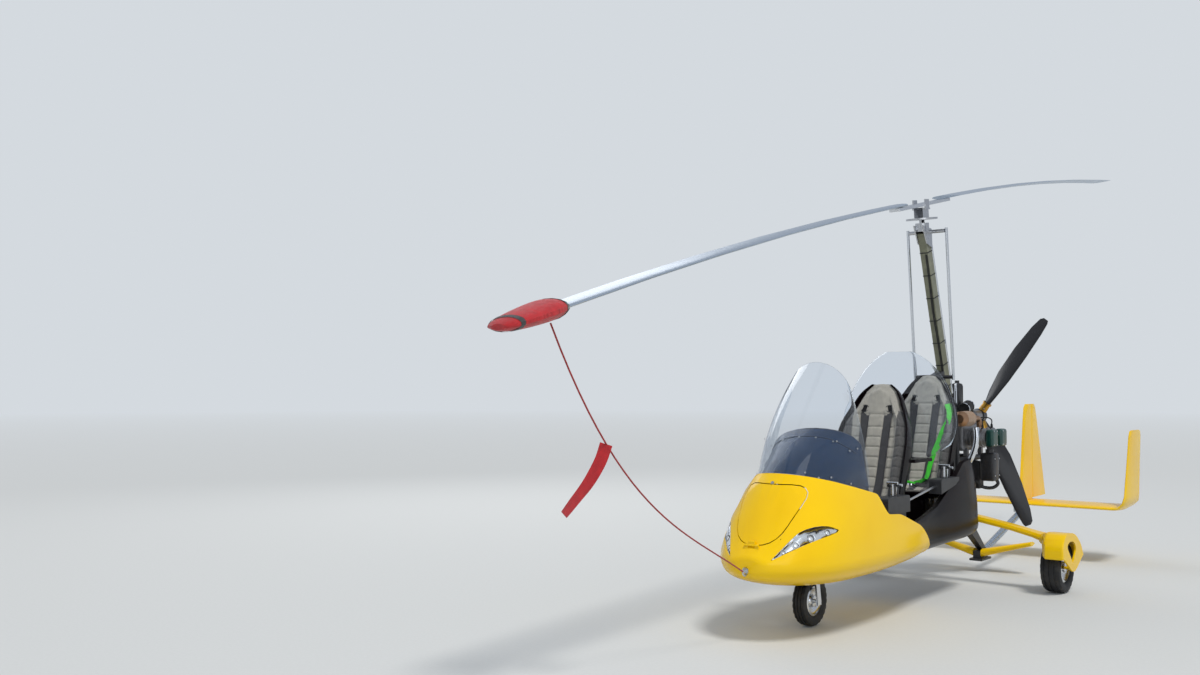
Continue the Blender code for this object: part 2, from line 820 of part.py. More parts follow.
def make_seat(label, hip_y, hip_z, with_fairing):
    shell_rings = []
    pad_rings = []
    for index, frame in enumerate(seat_frames(hip_y, hip_z)):
        _, _, half, wing = frame
        hollow = [
            (half, wing), (half, wing * 0.35), (half * 0.86, 0.0), (half * 0.45, -wing * 0.12), (0.0, -wing * 0.16),
        ]
        back = seat_wall + (fairing_depth * fairing_shares[index] if with_fairing else 0.0)
        outside = [
            (half + seat_wall, wing), (half + seat_wall, wing * 0.30 - (back - seat_wall) * 0.5), (half * 0.90, -back),
            (half * 0.45, -wing * 0.12 - back), (0.0, -wing * 0.16 - back),
        ]
        ring = both_sides(outside)
        ring += list(reversed(both_sides(hollow)))
        shell_rings.append(seat_ring(frame, ring))
        back = [(x - pad_gap if x > 0 else 0.0, n + pad_gap) for x, n in hollow[1:]]
        front = [
            (half * 0.96 - pad_gap, wing * 0.95), (half * 0.78, wing * 1.05), (half * 0.58, pad_thickness * 0.75),
            (half * 0.30, pad_thickness), (0.0, pad_thickness * 1.05),
        ]
        ring = both_sides(front) + list(reversed(both_sides(back)))
        pad_rings.append(seat_ring(frame, ring))
    shell = loft(shell_rings)
    pan = seat_table[2]
    foot_top = hip_z + pan[1] - pan[3] * 0.14 - seat_wall / 2
    foot = block(
        (-seat_foot_half, hip_y + pan[0] - seat_foot_length / 2, tub_floor_z + seat_gap),
        (seat_foot_half, hip_y + pan[0] + seat_foot_length / 2, foot_top),
    )
    pieces = [shell, foot]
    if with_fairing:
        ledge_y = rear_screen_front_y + rear_screen_lean * rear_screen_shares[0][0]
        ledge = block(
            (-ledge_half, hip_y + ledge_reach, rear_screen_low_z - ledge_height - seat_gap),
            (ledge_half, ledge_y + rear_screen_wrap * 0.62, rear_screen_low_z - seat_gap),
        )
        pieces.append(ledge)
    add(f"{label}_seat_shell", fused(pieces), black_gloss)
    add(f"{label}_seat_cushion", loft(pad_rings), grey_cloth)


# Lever consoles on the port sill, sticks and pedals
console_half = 0.042
console_inset = 0.106
console_x = pod_half_width - console_inset
console_rounding = 0.020
lever_radius = 0.006
front_console = (-1.250, -0.950, 0.622, 0.722)
rear_console = (-0.480, -0.190, 0.690, 0.785)
console_foot_half = 0.018
link_radius = 0.007
stick_radius = 0.011
grip_radius = 0.017
front_stick_y = -1.262
rear_stick_y = -0.515
stick_rise = 0.330
stick_rake = 0.060
grip_length = 0.110


def rim_at(y):
    """Height of the tub's rim at a place along it."""
    for (y0, z0, _), (y1, z1, _) in zip(tub_rim_table, tub_rim_table[1:]):
        if y <= y1:
            return z0 + (z1 - z0) * (y - y0) / (y1 - y0)
    return tub_rim_table[-1][1]


def make_controls():
    for label, sizes in (("front", front_console), ("rear", rear_console)):
        low_y, high_y, low_z, high_z = sizes
        middle = (low_y + high_y) / 2
        under = [low_y] + [row[0] for row in tub_rim_table if low_y < row[0] < high_y] + [high_y]
        outline = [(y, max(rim_at(y) + seat_gap, low_z)) for y in under]
        outline = rounded(outline + [(high_y, high_z), (low_y, high_z)], [0] * len(outline) + [console_rounding] * 2, 3)
        body = plate(outline, "X", console_x - console_half, console_x + console_half)
        x = console_x + console_half * 0.15
        stance = (min(middle - console_foot_half, low_y + console_rounding), high_y - console_rounding)
        lows = [(y, rim_at(y) + seat_gap) for y in (stance[0], middle, stance[1])]
        foot = plate(lows + [(stance[1], high_z - console_rounding), (stance[0], high_z - console_rounding)],
                     "X", x - console_foot_half, x + console_foot_half)
        lever_top = high_z + console_half * 1.5
        levers = []
        for step in (-0.45, 0.45):
            start = Vector((console_x + console_half * step, middle + console_half * step, high_z - console_rounding))
            end = start + Vector((0, console_half * 0.5, lever_top - start.z))
            levers.append(tube([start, end], lever_radius, 8))
            levers.append(tube([end - Vector((0, console_half * 0.5, 0)), end + Vector((0, console_half * 0.5, 0))],
                               lever_radius * 1.6, 8))
        shapes = [body, *levers] if low_z < rim_at(high_y) else [body, foot, *levers]
        add(f"lever_console_{label}", fused(shapes), dark_plastic)

    front_low, front_high = front_console[1], rear_console[0]
    start = Vector((console_x, front_low + seat_gap, (front_console[2] + front_console[3]) / 2))
    end = Vector((console_x, front_high - seat_gap, (rear_console[2] + rear_console[3]) / 2))
    lead = Vector((0, link_radius * 2, 0))
    add("control_link", tube([start, start + lead, end - lead, end], link_radius, 8), steel)

    for label, y in (("front", front_stick_y), ("rear", rear_stick_y)):
        low = Vector((0, y, tub_floor_z + seat_gap))
        knee = low + Vector((0, 0, stick_rise * 0.25))
        top = Vector((0, y + stick_rake, tub_floor_z + stick_rise))
        grip = top + (top - knee).normalized() * grip_length
        foot = turned([(stick_radius * 2.4, 0.0), (stick_radius * 2.0, stick_radius * 2)], low, (0, 0, 1), 12)
        stick = fused([
            foot, tube(bent([low + Vector((0, 0, stick_radius)), knee, top], stick_rake), stick_radius, 10),
            tube([top - (top - knee).normalized() * stick_radius, grip], grip_radius, 10),
        ])
        add(f"control_stick_{label}", stick, matt_black)


# Frame under the nose: two rails on the tub's floor, the steering tube and the pedals
rail_radius = 0.016
rail_x = 0.172
rail_front_y = -1.880
rail_back_y = -1.060
steer_y = -1.630
steer_tube_radius = 0.030
steer_tube_low_z = 0.346
steer_tube_high_z = 0.460
stem_radius = 0.016
pedal_half_x = 0.050
pedal_rise = 0.130
pedal_thickness = 0.014
pedal_x = 0.110

# Nose wheel and its fork
nose_wheel_radius = 0.145
nose_wheel_half = 0.040
nose_rim_radius = 0.085
main_wheel_radius = 0.168
main_wheel_half = 0.068
main_rim_radius = 0.098
fork_half_x = 0.052
fork_blade = 0.012
fork_width = 0.040
crown_z = 0.322
crown_height = 0.022
axle_radius = 0.010
tyre_seat = 0.0006
hub_gap = 0.0006


def make_nose_frame():
    z = tub_floor_z + seat_gap + rail_radius
    parts = []
    for side in (-1, 1):
        parts.append(tube([(side * rail_x, rail_back_y, z), (side * rail_x, rail_front_y, z)], rail_radius, 12))
        parts.append(tube([(side * rail_x, steer_y, z), (0, steer_y, z + rail_radius)], rail_radius * 0.8, 10))
    parts.append(tube([(-rail_x, rail_front_y + rail_radius, z), (rail_x, rail_front_y + rail_radius, z)],
                      rail_radius * 0.9, 12))
    head = turned([(steer_tube_radius, 0.0), (steer_tube_radius, steer_tube_high_z - steer_tube_low_z)],
                  (0, steer_y, steer_tube_low_z), (0, 0, 1), 20)
    frame = fused([*parts, head])
    bore = turned([(stem_radius + pin_gap, -cut_overrun), (stem_radius + pin_gap, crown_z)],
                  (0, steer_y, steer_tube_low_z), (0, 0, 1), 20)
    add("nose_frame", cut(frame, bore), matt_black)

    base = z + rail_radius * 0.9 + seat_gap
    y = rail_front_y + rail_radius
    pads = []
    for side in (-1, 1):
        pads.append(block((side * pedal_x - pedal_half_x, y - pedal_thickness / 2, base),
                          (side * pedal_x + pedal_half_x, y + pedal_thickness / 2, base + pedal_rise)))
    bar = block((-pedal_x, y - pedal_thickness / 3, base + pedal_rise * 0.1),
                (pedal_x, y + pedal_thickness / 3, base + pedal_rise * 0.3))
    add("rudder_pedals", fused([bar, *pads]), alloy)


def tyre_profile(radius, half, rim):
    """A tyre's section: tread, shoulders, side walls and beads, as (radius, along)."""
    return [
        (radius, -half * 0.40), (radius, half * 0.40), (radius * 0.965, half * 0.78),
        (radius * 0.88, half), (radius * 0.74, half * 0.98), (rim + tyre_seat, half * 0.72),
        (rim + tyre_seat, -half * 0.72), (radius * 0.74, -half * 0.98), (radius * 0.88, -half),
        (radius * 0.965, -half * 0.78),
    ]


def rim_profile(half, rim, bore):
    """A cast rim's section: flanges, dished sides and a hub bored for its axle."""
    return [
        (rim, -half * 0.72), (rim, half * 0.72), (rim * 0.88, half * 0.80), (rim * 0.80, half * 0.45),
        (rim * 0.45, half * 0.30), (rim * 0.36, half * 0.80), (bore, half * 0.80),
        (bore, -half * 0.80), (rim * 0.36, -half * 0.80), (rim * 0.45, -half * 0.30),
        (rim * 0.80, -half * 0.45), (rim * 0.88, -half * 0.80),
    ]


def make_wheel(label, place, radius, half, rim, on, sides):
    hanger = pivot(f"{label}_pivot", place, on)
    add(f"{label}_tyre", turned(tyre_profile(radius, half, rim), place, (1, 0, 0), sides, True), rubber, hanger)
    bore = axle_radius + hub_gap
    add(f"{label}_rim", turned(rim_profile(half, rim, bore), place, (1, 0, 0), sides, True), alloy, hanger)


def make_nose_gear():
    steer = pivot("nose_fork_pivot", (0, steer_y, crown_z))
    axle_z = nose_wheel_radius
    reach = fork_half_x + fork_blade
    crown = block((-reach, steer_y - fork_width * 0.8, crown_z - crown_height / 2),
                  (reach, steer_y + fork_width * 0.8, crown_z + crown_height / 2))
    stem = turned([(stem_radius, 0.0), (stem_radius, steer_tube_high_z - crown_z)], (0, steer_y, crown_z), (0, 0, 1), 20)
    legs = []
    for side in (-1, 1):
        x = side * (fork_half_x + fork_blade / 2)
        legs.append(beam([(x, steer_y, crown_z), (x, nose_axle_y, axle_z), (x, nose_axle_y, axle_z - fork_width / 2)],
                         fork_blade, fork_width))
    axle = turned([(axle_radius, -reach), (axle_radius, reach)], (0, nose_axle_y, axle_z), (1, 0, 0), 16)
    add("nose_fork", fused([crown, stem, *legs, axle]), alloy, steer)
    make_wheel("nose_wheel", (0, nose_axle_y, axle_z), nose_wheel_radius, nose_wheel_half, nose_rim_radius, steer, 28)


hook_inset = 0.012
hook_z = 0.397
hook_loop_radius = 0.020
hook_bar_radius = 0.006
hook_drop = 0.004


def make_tow_hook():
    y, z = nose_y + hook_inset, hook_z
    ring = []
    loop_radius, bar = hook_loop_radius, hook_bar_radius
    centre = Vector((0, y - hook_loop_radius, z - hook_drop))
    rings = []
    for k in range(16):
        angle = 2 * math.pi * k / 16
        out = Vector((0, math.cos(angle), math.sin(angle)))
        rings.append([centre + out * (loop_radius + bar * math.cos(a)) + Vector((bar * math.sin(a), 0, 0))
                      for a in [2 * math.pi * j / 8 for j in range(8)]])
    eye = loft(rings, closed=True)
    stem = block((-bar * 2, y - loop_radius * 0.4, z - bar * 2), (bar * 2, y + loop_radius * 2, z + bar * 2))
    hook = fused([eye, stem])
    hook = cut(hook, form_solid(body_form[:14], -seat_gap, -seat_gap))
    add("tow_hook", hook, steel)


# Mast, its second tube, the fixed rotor head and the two control rods
mast_width = 0.055
mast_depth = 0.080
mast_foot_y = 0.408
mast_foot_z = 1.280
mast_top_z = 2.440
mast_slope = 0.3215
mast_tube_radius = 0.019
mast_tube_behind = 0.078
mast_tube_low_share = 0.02
mast_tube_high_share = 0.93
cheek_thickness = 0.008
cheek_half_length = 0.075
cheek_low_z = 2.360
bearing_radius = 0.046
bearing_below_hub = 0.185
bearing_height = 0.058
shaft_radius = 0.018
arm_radius = 0.013
arm_y = 0.096
rod_x = 0.140
rod_top_y = 0.096
rod_top_z = 2.450
rod_low_y = 0.190
rod_low_z = 1.420
rod_radius = 0.010
mast_plate_half = 0.045

# Turning rotor: shaft, disc, teeter tower, hub bar, blades and the tip cover
disc_radius = 0.106
disc_thickness = 0.012
disc_below_hub = 0.105
tower_half_x = 0.020
tower_half_y = 0.050
tower_above_hub = 0.035
bar_half_length = 0.430
bar_half_width = 0.038
bar_thickness = 0.022
blade_root = 0.335
blade_tip = 4.140
blade_chord = 0.200
blade_thickness_share = 0.12
blade_droop = 0.160
blade_shares = (0.0, 0.08, 0.25, 0.45, 0.65, 0.83, 1.0)
cover_root = 3.870
cover_tip = 4.205
cover_half_width = 0.125
cover_half_height = 0.052
cover_wall = 0.004
foil_table = [
    # place along the chord, half thickness, as shares of chord and thickness
    (0.00, 0.00),
    (0.015, 0.19),
    (0.07, 0.36),
    (0.20, 0.48),
    (0.38, 0.50),
    (0.62, 0.37),
    (0.85, 0.17),
    (1.00, 0.025),
]


def mast_point(z):
    """The mast's centre line, leaning forward to the top."""
    return Vector((0, mast_foot_y - (z - mast_foot_z) * mast_slope, z))


def shaft_axis():
    return Vector((0, -math.sin(shaft_tilt), math.cos(shaft_tilt)))


def hub_point(below):
    return Vector((0, 0, hub_z)) - shaft_axis() * below


def make_mast():
    low, high = mast_point(mast_foot_z), mast_point(mast_top_z)
    add("mast", beam([low, high], mast_width, mast_depth), olive)

    run = (high - low).normalized()
    back = Vector((0, run.z, -run.y))
    offset = back * mast_tube_behind
    start = low.lerp(high, mast_tube_low_share) + offset
    end = low.lerp(high, mast_tube_high_share) + offset
    pieces = [tube([start, end], mast_tube_radius, 14)]
    for share in (0.04, 0.35, 0.66, 0.97):
        place = start.lerp(end, share)
        face = place - back * (mast_tube_behind - mast_depth / 2 - seat_gap)
        pieces.append(beam([face, place], mast_width * 0.7, mast_tube_radius * 1.6))
    add("mast_tube", fused(pieces), alloy)

    pieces = []
    bearing_low = hub_point(bearing_below_hub)
    for side in (-1, 1):
        low_x, high_x = sorted((side * (mast_width / 2 + seat_gap), side * (mast_width / 2 + seat_gap + cheek_thickness)))
        low = mast_point(cheek_low_z)
        corners = [
            (low.y - mast_depth * 0.55, low.z), (low.y + mast_depth * 0.55, low.z - mast_depth * 0.3),
            (bearing_low.y + cheek_half_length, bearing_low.z + bearing_height * 0.35),
            (bearing_low.y - cheek_half_length, bearing_low.z + bearing_height * 0.60),
        ]
        pieces.append(plate(corners, "X", low_x, high_x))
    bearing = turned(
        [(bearing_radius, 0.0), (bearing_radius, bearing_height)], bearing_low, shaft_axis(), 20,
    )
    reach = rod_x - rod_radius - seat_gap
    arm = tube([(-reach, arm_y, rod_top_z), (reach, arm_y, rod_top_z)], arm_radius, 12)
    saddle = block(
        (-mast_width / 2, bearing_low.y - bearing_radius, mast_top_z + mast_depth / 2 * mast_slope + seat_gap),
        (mast_width / 2, arm_y + arm_radius, bearing_low.z + bearing_height * 0.5),
    )
    head = fused([saddle, bearing, arm, *pieces])
    bore = turned([(shaft_radius + pin_gap, -cut_overrun), (shaft_radius + pin_gap, bearing_height + cut_overrun)],
                  bearing_low + shaft_axis() * bearing_height * 0.35, shaft_axis(), 20)
    add("rotor_head", cut(head, bore), steel)

    for side, label in ((1, "port"), (-1, "starboard")):
        high = Vector((side * rod_x, rod_top_y, rod_top_z + rod_radius * 2))
        low = Vector((side * rod_x, rod_low_y, rod_low_z))
        add(f"control_rod_{label}", tube([high, low], rod_radius, 10), alloy)
    crank_z_now = rod_low_z + rod_radius * 2
    near = mast_point(crank_z_now)
    face_y = near.y - mast_depth / 2 * math.hypot(1, mast_slope) - seat_gap
    lift = mast_plate_half * mast_slope
    bracket = plate([
        (rod_low_y - arm_radius, crank_z_now - arm_radius), (face_y + lift, crank_z_now - mast_plate_half),
        (face_y - lift, crank_z_now + mast_plate_half), (rod_low_y - arm_radius, crank_z_now + arm_radius),
    ], "X", -mast_width / 2, mast_width / 2)
    cross = tube([(-reach, rod_low_y, crank_z_now), (reach, rod_low_y, crank_z_now)], arm_radius, 12)
    add("control_crank", fused([bracket, cross]), matt_black)


def foil_ring(lead, chord_way, up, chord, thickness):
    """A wing section: lead is its nose, chord_way points to its tail."""
    upper = []
    lower = []
    for along, half in foil_table:
        base = lead + chord_way * chord * along
        upper.append(base + up * thickness * half)
        if 0 < along:
            lower.append(base - up * thickness * half)
    return upper + list(reversed(lower))


def span_frame(side):
    """Unit vectors along the span and up from it, for the front (-1) or rear blade."""
    along = Vector((0, side * math.cos(rotor_tilt), side * math.sin(rotor_tilt)))
    up = Vector((0, -math.sin(rotor_tilt), math.cos(rotor_tilt)))
    return along, up


def blade_point(side, reach):
    """The blade's centre line: straight from the hub, then drooping to the tip."""
    along, up = span_frame(side)
    lift = bar_thickness / 2 + seat_gap + blade_chord * blade_thickness_share / 2
    droop = Vector((0, 0, blade_droop)) * (max(reach - bar_half_length, 0.0) / (blade_tip - bar_half_length)) ** 2
    return Vector((0, 0, hub_z)) + along * reach + up * lift - droop


def make_rotor():
    turning = pivot("rotor_pivot", (0, 0, hub_z))
    axis = shaft_axis()
    low = hub_point(bearing_below_hub) + axis * (bearing_height * 0.35 + seat_gap * 2)
    length = (hub_point(disc_below_hub) - low).length
    shaft = turned([(shaft_radius, 0.0), (shaft_radius, length + disc_thickness)], low, axis, 20)
    disc = turned([(disc_radius, 0.0), (disc_radius, disc_thickness)], hub_point(disc_below_hub), axis, 40)
    across_way = Vector((1, 0, 0))
    fore = axis.cross(across_way).normalized()
    rings = []
    for below, wide in ((disc_below_hub - disc_thickness / 2, 1.0), (bar_thickness, 1.0)):
        centre = hub_point(below)
        rings.append([centre + across_way * tower_half_x * a * 1.6 + fore * tower_half_y * b * wide
                      for a, b in ((1, 1), (-1, 1), (-1, -1), (1, -1))])
    tower = loft(rings)
    cheeks = []
    for side in (-1, 1):
        x = side * (bar_half_width + seat_gap + tower_half_x / 4)
        rings = []
        for below in (bar_thickness * 1.2, -tower_above_hub):
            centre = hub_point(below)
            rings.append([centre + across_way * (x + tower_half_x / 4 * a) + fore * tower_half_y * 0.6 * b
                          for a, b in ((1, 1), (-1, 1), (-1, -1), (1, -1))])
        cheeks.append(loft(rings))
    rings = []
    for below in (bar_thickness * 1.6, bar_thickness * 1.05):
        centre = hub_point(below)
        reach = bar_half_width + tower_half_x / 2
        rings.append([centre + across_way * reach * a + fore * tower_half_y * 0.8 * b
                      for a, b in ((1, 1), (-1, 1), (-1, -1), (1, -1))])
    bridge = loft(rings)
    add("rotor_shaft", fused([shaft, disc, tower, bridge, *cheeks]), steel, turning)

    along, up = span_frame(1)
    centre = Vector((0, 0, hub_z))
    bar = loft([[centre + along * s + Vector((1, 0, 0)) * bar_half_width * a + up * bar_thickness / 2 * b
                 for a, b in ((1, 1), (-1, 1), (-1, -1), (1, -1))]
                for s in (-bar_half_length, -bar_half_length * 0.3, bar_half_length * 0.3, bar_half_length)])
    add("hub_bar", bar, alloy, turning)

    steps = [blade_root + (cover_root - cut_overrun - blade_root) * share for share in blade_shares]
    steps += [cover_root + cut_overrun, blade_tip]
    for side, label in ((-1, "front"), (1, "rear")):
        lead_way = Vector((-side, 0, 0))
        rings = []
        for reach in steps:
            middle = blade_point(side, reach)
            thick = blade_chord * blade_thickness_share
            _, up = span_frame(side)
            rings.append(foil_ring(middle + lead_way * blade_chord * 0.28, -lead_way, up, blade_chord, thick))
        add(f"rotor_blade_{label}", loft(rings), blade_grey, turning)

    outer, inner = [], []
    lead_way = Vector((1, 0, 0))
    cover_shares = [
        # along the cover, width share, height share
        (0.00, 0.86, 0.80), (0.12, 0.98, 1.00), (0.40, 1.00, 0.92), (0.75, 0.92, 0.74), (0.93, 0.72, 0.52),
        (1.00, 0.36, 0.26),
    ]
    for share, wide, tall in cover_shares:
        reach = cover_root + (cover_tip - cover_root) * share
        _, up = span_frame(-1)
        centre = blade_point(-1, reach) - lead_way * blade_chord * 0.22
        for rings, shrink in ((outer, 0.0), (inner, cover_wall)):
            half_w, half_h = cover_half_width * wide - shrink, cover_half_height * tall - shrink
            rings.append([centre + lead_way * half_w * math.cos(a) + up * half_h * math.sin(a)
                          for a in [2 * math.pi * (k + 0.5) / 16 for k in range(16)]])
    run = (outer[1][0] - outer[0][0]).normalized()
    inner[0] = [p + run * cover_wall for p in inner[0]]
    inner[-1] = [p - run * cover_wall for p in inner[-1]]
    slot = []
    for reach in (cover_root - cut_overrun, cover_root + cut_overrun):
        _, up = span_frame(-1)
        lead = blade_point(-1, reach) + lead_way * (blade_chord * 0.28 + seat_gap)
        slot.append(foil_ring(lead, -lead_way, up, blade_chord + seat_gap * 2,
                              blade_chord * blade_thickness_share + seat_gap * 2))
    add("blade_cover", cut(loft(outer), loft(inner), loft(slot)), red_cloth, turning)


# Lower frame of steel tube, keel, engine bearers and the tail boom
frame_top_z = 1.270
frame_tube = 0.018
frame_leg_x = 0.100
frame_knee_y = 0.330
frame_low_z = 0.560
keel_width = 0.060
keel_height = 0.070
keel_front_y = 0.290
keel_rail_front_y = -0.075
keel_rail_back_y = 0.150
keel_rail_height = 0.050
keel_knee_y = 0.560
bearer_z = 0.860
bearer_back_y = 0.820
prop_strut_y = 0.755
prop_strut_z = 0.360
skid_half_width = 0.050
skid_front = 0.100
skid_back = 0.090
skid_thickness = 0.018
skid_drop = 0.052
skid_rounding = 0.006
loop_root_back = 0.015
loop_shoulder = 0.120
loop_bend = 0.080
keel_dip = 0.010
keel_bend_y = 0.780
keel_bend_z = 0.335
keel_tip_over = 0.020
keel_tip_rise = 0.012
boom_radius = 0.026
boom_end_y = 1.930
boom_end_z = 0.378
boom_drop = 0.005
boom_pad_front = 0.120
boom_pad_back = 0.030
saddle_half = 0.110
fin_arm_reach = 0.390
fin_arm_rise = 0.092
fin_arm_drop = 0.012
fin_arm_root_chord = 0.150
fin_arm_tip_chord = 0.090
fin_arm_thickness = 0.062

# Main gear: one moulded bow with a wheel cover at each end
bow_mid_z = 0.470
bow_thickness = 0.044
bow_chord = 0.110
cover_inner_x = 0.655
cover_outer_x = 0.862
cover_top_z = 0.408
leg_top_z = 0.386
cover_skin = 0.012
cover_front_reach = 0.228
cover_back_reach = 0.204
cover_low_z = 0.244
wheel_room = 0.010
prong_half = 0.026
hole_y = 0.362
hole_top_z = 0.355
hole_half_length = 0.098
hole_low_z = 0.208
cover_roundings = [0.012, 0.008, 0.100, 0.120, 0.050, 0.070]
hole_roundings = [0.008, 0.050, 0.045, 0.045, 0.050]
prong_rounding = 0.019
bow_table = [
    # place along the bow, drop below its middle, chord share, thickness share
    (0.000, 0.000, 1.00, 1.00),
    (0.130, 0.000, 1.00, 1.00),
    (0.260, 0.022, 1.00, 1.00),
    (0.450, 0.058, 0.95, 0.95),
    (0.600, 0.092, 1.05, 1.00),
    (cover_inner_x + cover_skin / 2, 0.108, 1.30, 1.15),
]
cover_flare_shares = [
    # place from the leg outward, size against the full cover, height of the top
    (0.00, 0.30, 0.00),
    (0.13, 0.42, 0.15),
    (0.23, 0.66, 0.50),
    (0.32, 0.90, 0.88),
    (0.43, 1.00, 1.00),
    (0.95, 1.00, 1.00),
    (1.00, 0.98, 0.97),
]


def make_keel():
    foot = mast_point(mast_foot_z)
    parts = []
    run = (mast_point(mast_top_z) - foot).normalized()
    collar = beam([foot - run * mast_depth * 0.8, foot - run * seat_gap], mast_width * 1.3, mast_depth * 1.25)
    parts.append(collar)
    loop = bent([
        (side * x, y, z)
        for side, x, y, z in (
            (1, mast_width * 0.4, foot.y + loop_root_back, mast_foot_z - mast_depth * 0.5),
            (1, frame_leg_x, frame_knee_y, frame_top_z - loop_shoulder),
            (1, frame_leg_x, frame_knee_y, frame_low_z),
            (-1, frame_leg_x, frame_knee_y, frame_low_z),
            (-1, frame_leg_x, frame_knee_y, frame_top_z - loop_shoulder),
            (-1, mast_width * 0.4, foot.y + loop_root_back, mast_foot_z - mast_depth * 0.5),
        )
    ], loop_bend)
    parts.append(tube(loop, frame_tube, 10))
    for side in (-1, 1):
        x = side * frame_leg_x
        parts.append(tube([(x, frame_knee_y, bearer_z), (x, bearer_back_y, bearer_z)], frame_tube, 10))
    cross_y = bearer_back_y - frame_tube
    parts.append(tube([(-frame_leg_x, cross_y, bearer_z), (frame_leg_x, cross_y, bearer_z)], frame_tube, 10))
    rail_z = tub_floor_z + seat_gap + keel_rail_height / 2
    keel = beam([(0, keel_rail_front_y, rail_z), (0, keel_rail_back_y, rail_z), (0, keel_front_y, frame_low_z),
                 (0, keel_knee_y, frame_low_z - keel_dip), (0, keel_bend_y, keel_bend_z),
                 (0, node_y + keel_tip_over, node_z + keel_tip_rise)],
                [keel_width, keel_width, keel_width, keel_width, keel_width * 0.9, keel_width * 0.7],
                [keel_rail_height, keel_rail_height, keel_height, keel_height, keel_height * 1.1, keel_height * 0.6])
    parts.append(keel)
    saddle_low = bow_mid_z + bow_thickness / 2 + seat_gap
    parts.append(block((-saddle_half, main_axle_y - bow_chord * 0.45, saddle_low),
                       (saddle_half, main_axle_y + bow_chord * 0.45, frame_low_z)))
    parts.append(tube([(0, prop_strut_y, prop_strut_z), (0, bearer_back_y - frame_tube, bearer_z)],
                      frame_tube * 0.8, 10))
    skid_low = node_z - skid_drop - skid_thickness
    parts.append(block((-skid_half_width, node_y - skid_front, skid_low),
                       (skid_half_width, node_y + skid_back, skid_low + skid_thickness), skid_rounding))
    parts.append(block((-keel_width / 2, node_y - skid_front * 0.7, skid_low + skid_thickness / 2),
                       (keel_width / 2, node_y + skid_back * 0.7, node_z)))
    add("keel_frame", fused(parts), matt_black)

    start = Vector((0, node_y + skid_back * 0.7 + seat_gap, node_z - boom_drop))
    end = Vector((0, boom_end_y, boom_end_z))
    boom = fused([
        tube([start, start + Vector((0, boom_radius, 0)), end], boom_radius, 14),
        block((-boom_radius * 1.4, boom_end_y - boom_pad_front, boom_end_z - boom_radius * 0.5),
              (boom_radius * 1.4, boom_end_y + boom_pad_back, tail_z - stab_thickness / 2 - seat_gap)),
    ])
    add("tail_boom", boom, alloy)

    for side, label in ((1, "port"), (-1, "starboard")):
        rings = []
        for share in (0.0, 0.5, 1.0):
            x = side * (keel_width / 2 + seat_gap + (fin_arm_reach - keel_width / 2) * share)
            chord = fin_arm_root_chord + (fin_arm_tip_chord - fin_arm_root_chord) * share
            lead = Vector((x, node_y - chord * 0.55, node_z - fin_arm_drop + fin_arm_rise * share))
            rings.append(foil_ring(lead, Vector((0, 1, 0)), Vector((0, 0, 1)), chord, fin_arm_thickness * (1 - share * 0.45)))
        add(f"keel_fin_{label}", loft(rings), yellow)


def spat(side):
    """The wheel cover that ends the bow: it flares out of the leg over the wheel."""
    y, z = main_axle_y, main_wheel_radius
    front, back = y - cover_front_reach, y + cover_back_reach
    outline = rounded([
        (front, cover_low_z), (back, cover_low_z - cover_skin),
        (y + cover_back_reach * 0.74, z + (cover_top_z - z) * 0.62), (y + cover_back_reach * 0.06, cover_top_z),
        (y - cover_front_reach * 0.72, cover_top_z), (front, z + (cover_top_z - z) * 0.72),
    ], cover_roundings, 4)
    reach = cover_outer_x - cover_inner_x
    rings = []
    for x_share, size, top_share in cover_flare_shares:
        x = cover_inner_x + reach * x_share
        top = leg_top_z + (cover_top_z - leg_top_z) * top_share
        rings.append([Vector((x, y + (a - y) * size, top - (cover_top_z - b) * size)) for a, b in outline])
    shell = loft(rings)
    high_x = cover_outer_x
    prong = plate(rounded([
        (y - prong_half * 1.4, z - prong_half * 0.7), (y + prong_half * 0.9, z - prong_half * 0.7),
        (back - cover_skin, cover_low_z - cover_skin * 0.5), (front + prong_half, cover_low_z + cover_skin * 0.5),
    ], [prong_rounding] * 4, 4), "X", high_x - cover_skin, high_x - seat_gap)
    body = fused([shell, prong])
    room = turned(
        [(z + wheel_room, cover_inner_x - cut_overrun), (z + wheel_room, high_x - cover_skin)],
        (0, y, z), (1, 0, 0), 36,
    )
    under = block((cover_inner_x - cut_overrun, y - z - wheel_room, -cut_overrun),
                  (high_x - cover_skin, y + z + wheel_room, z))
    hole_tall = hole_top_z - hole_low_z
    hole = plate(rounded([
        (hole_y + hole_half_length * 0.2, hole_low_z), (hole_y + hole_half_length, hole_low_z + hole_tall * 0.58),
        (hole_y + hole_half_length * 0.55, hole_top_z - hole_tall * 0.06), (hole_y - hole_half_length * 0.45, hole_top_z),
        (hole_y - hole_half_length, hole_low_z + hole_tall * 0.80),
    ], hole_roundings, 4), "X", high_x - cover_skin * 1.5, high_x + cut_overrun)
    body = cut(body, room, under, hole)
    stub = turned([(axle_radius, cover_inner_x + cover_skin * 2), (axle_radius, high_x - cover_skin / 2)],
                  (0, y, z), (1, 0, 0), 16)
    body = fused([body, stub])
    return body if side > 0 else mirrored(body)


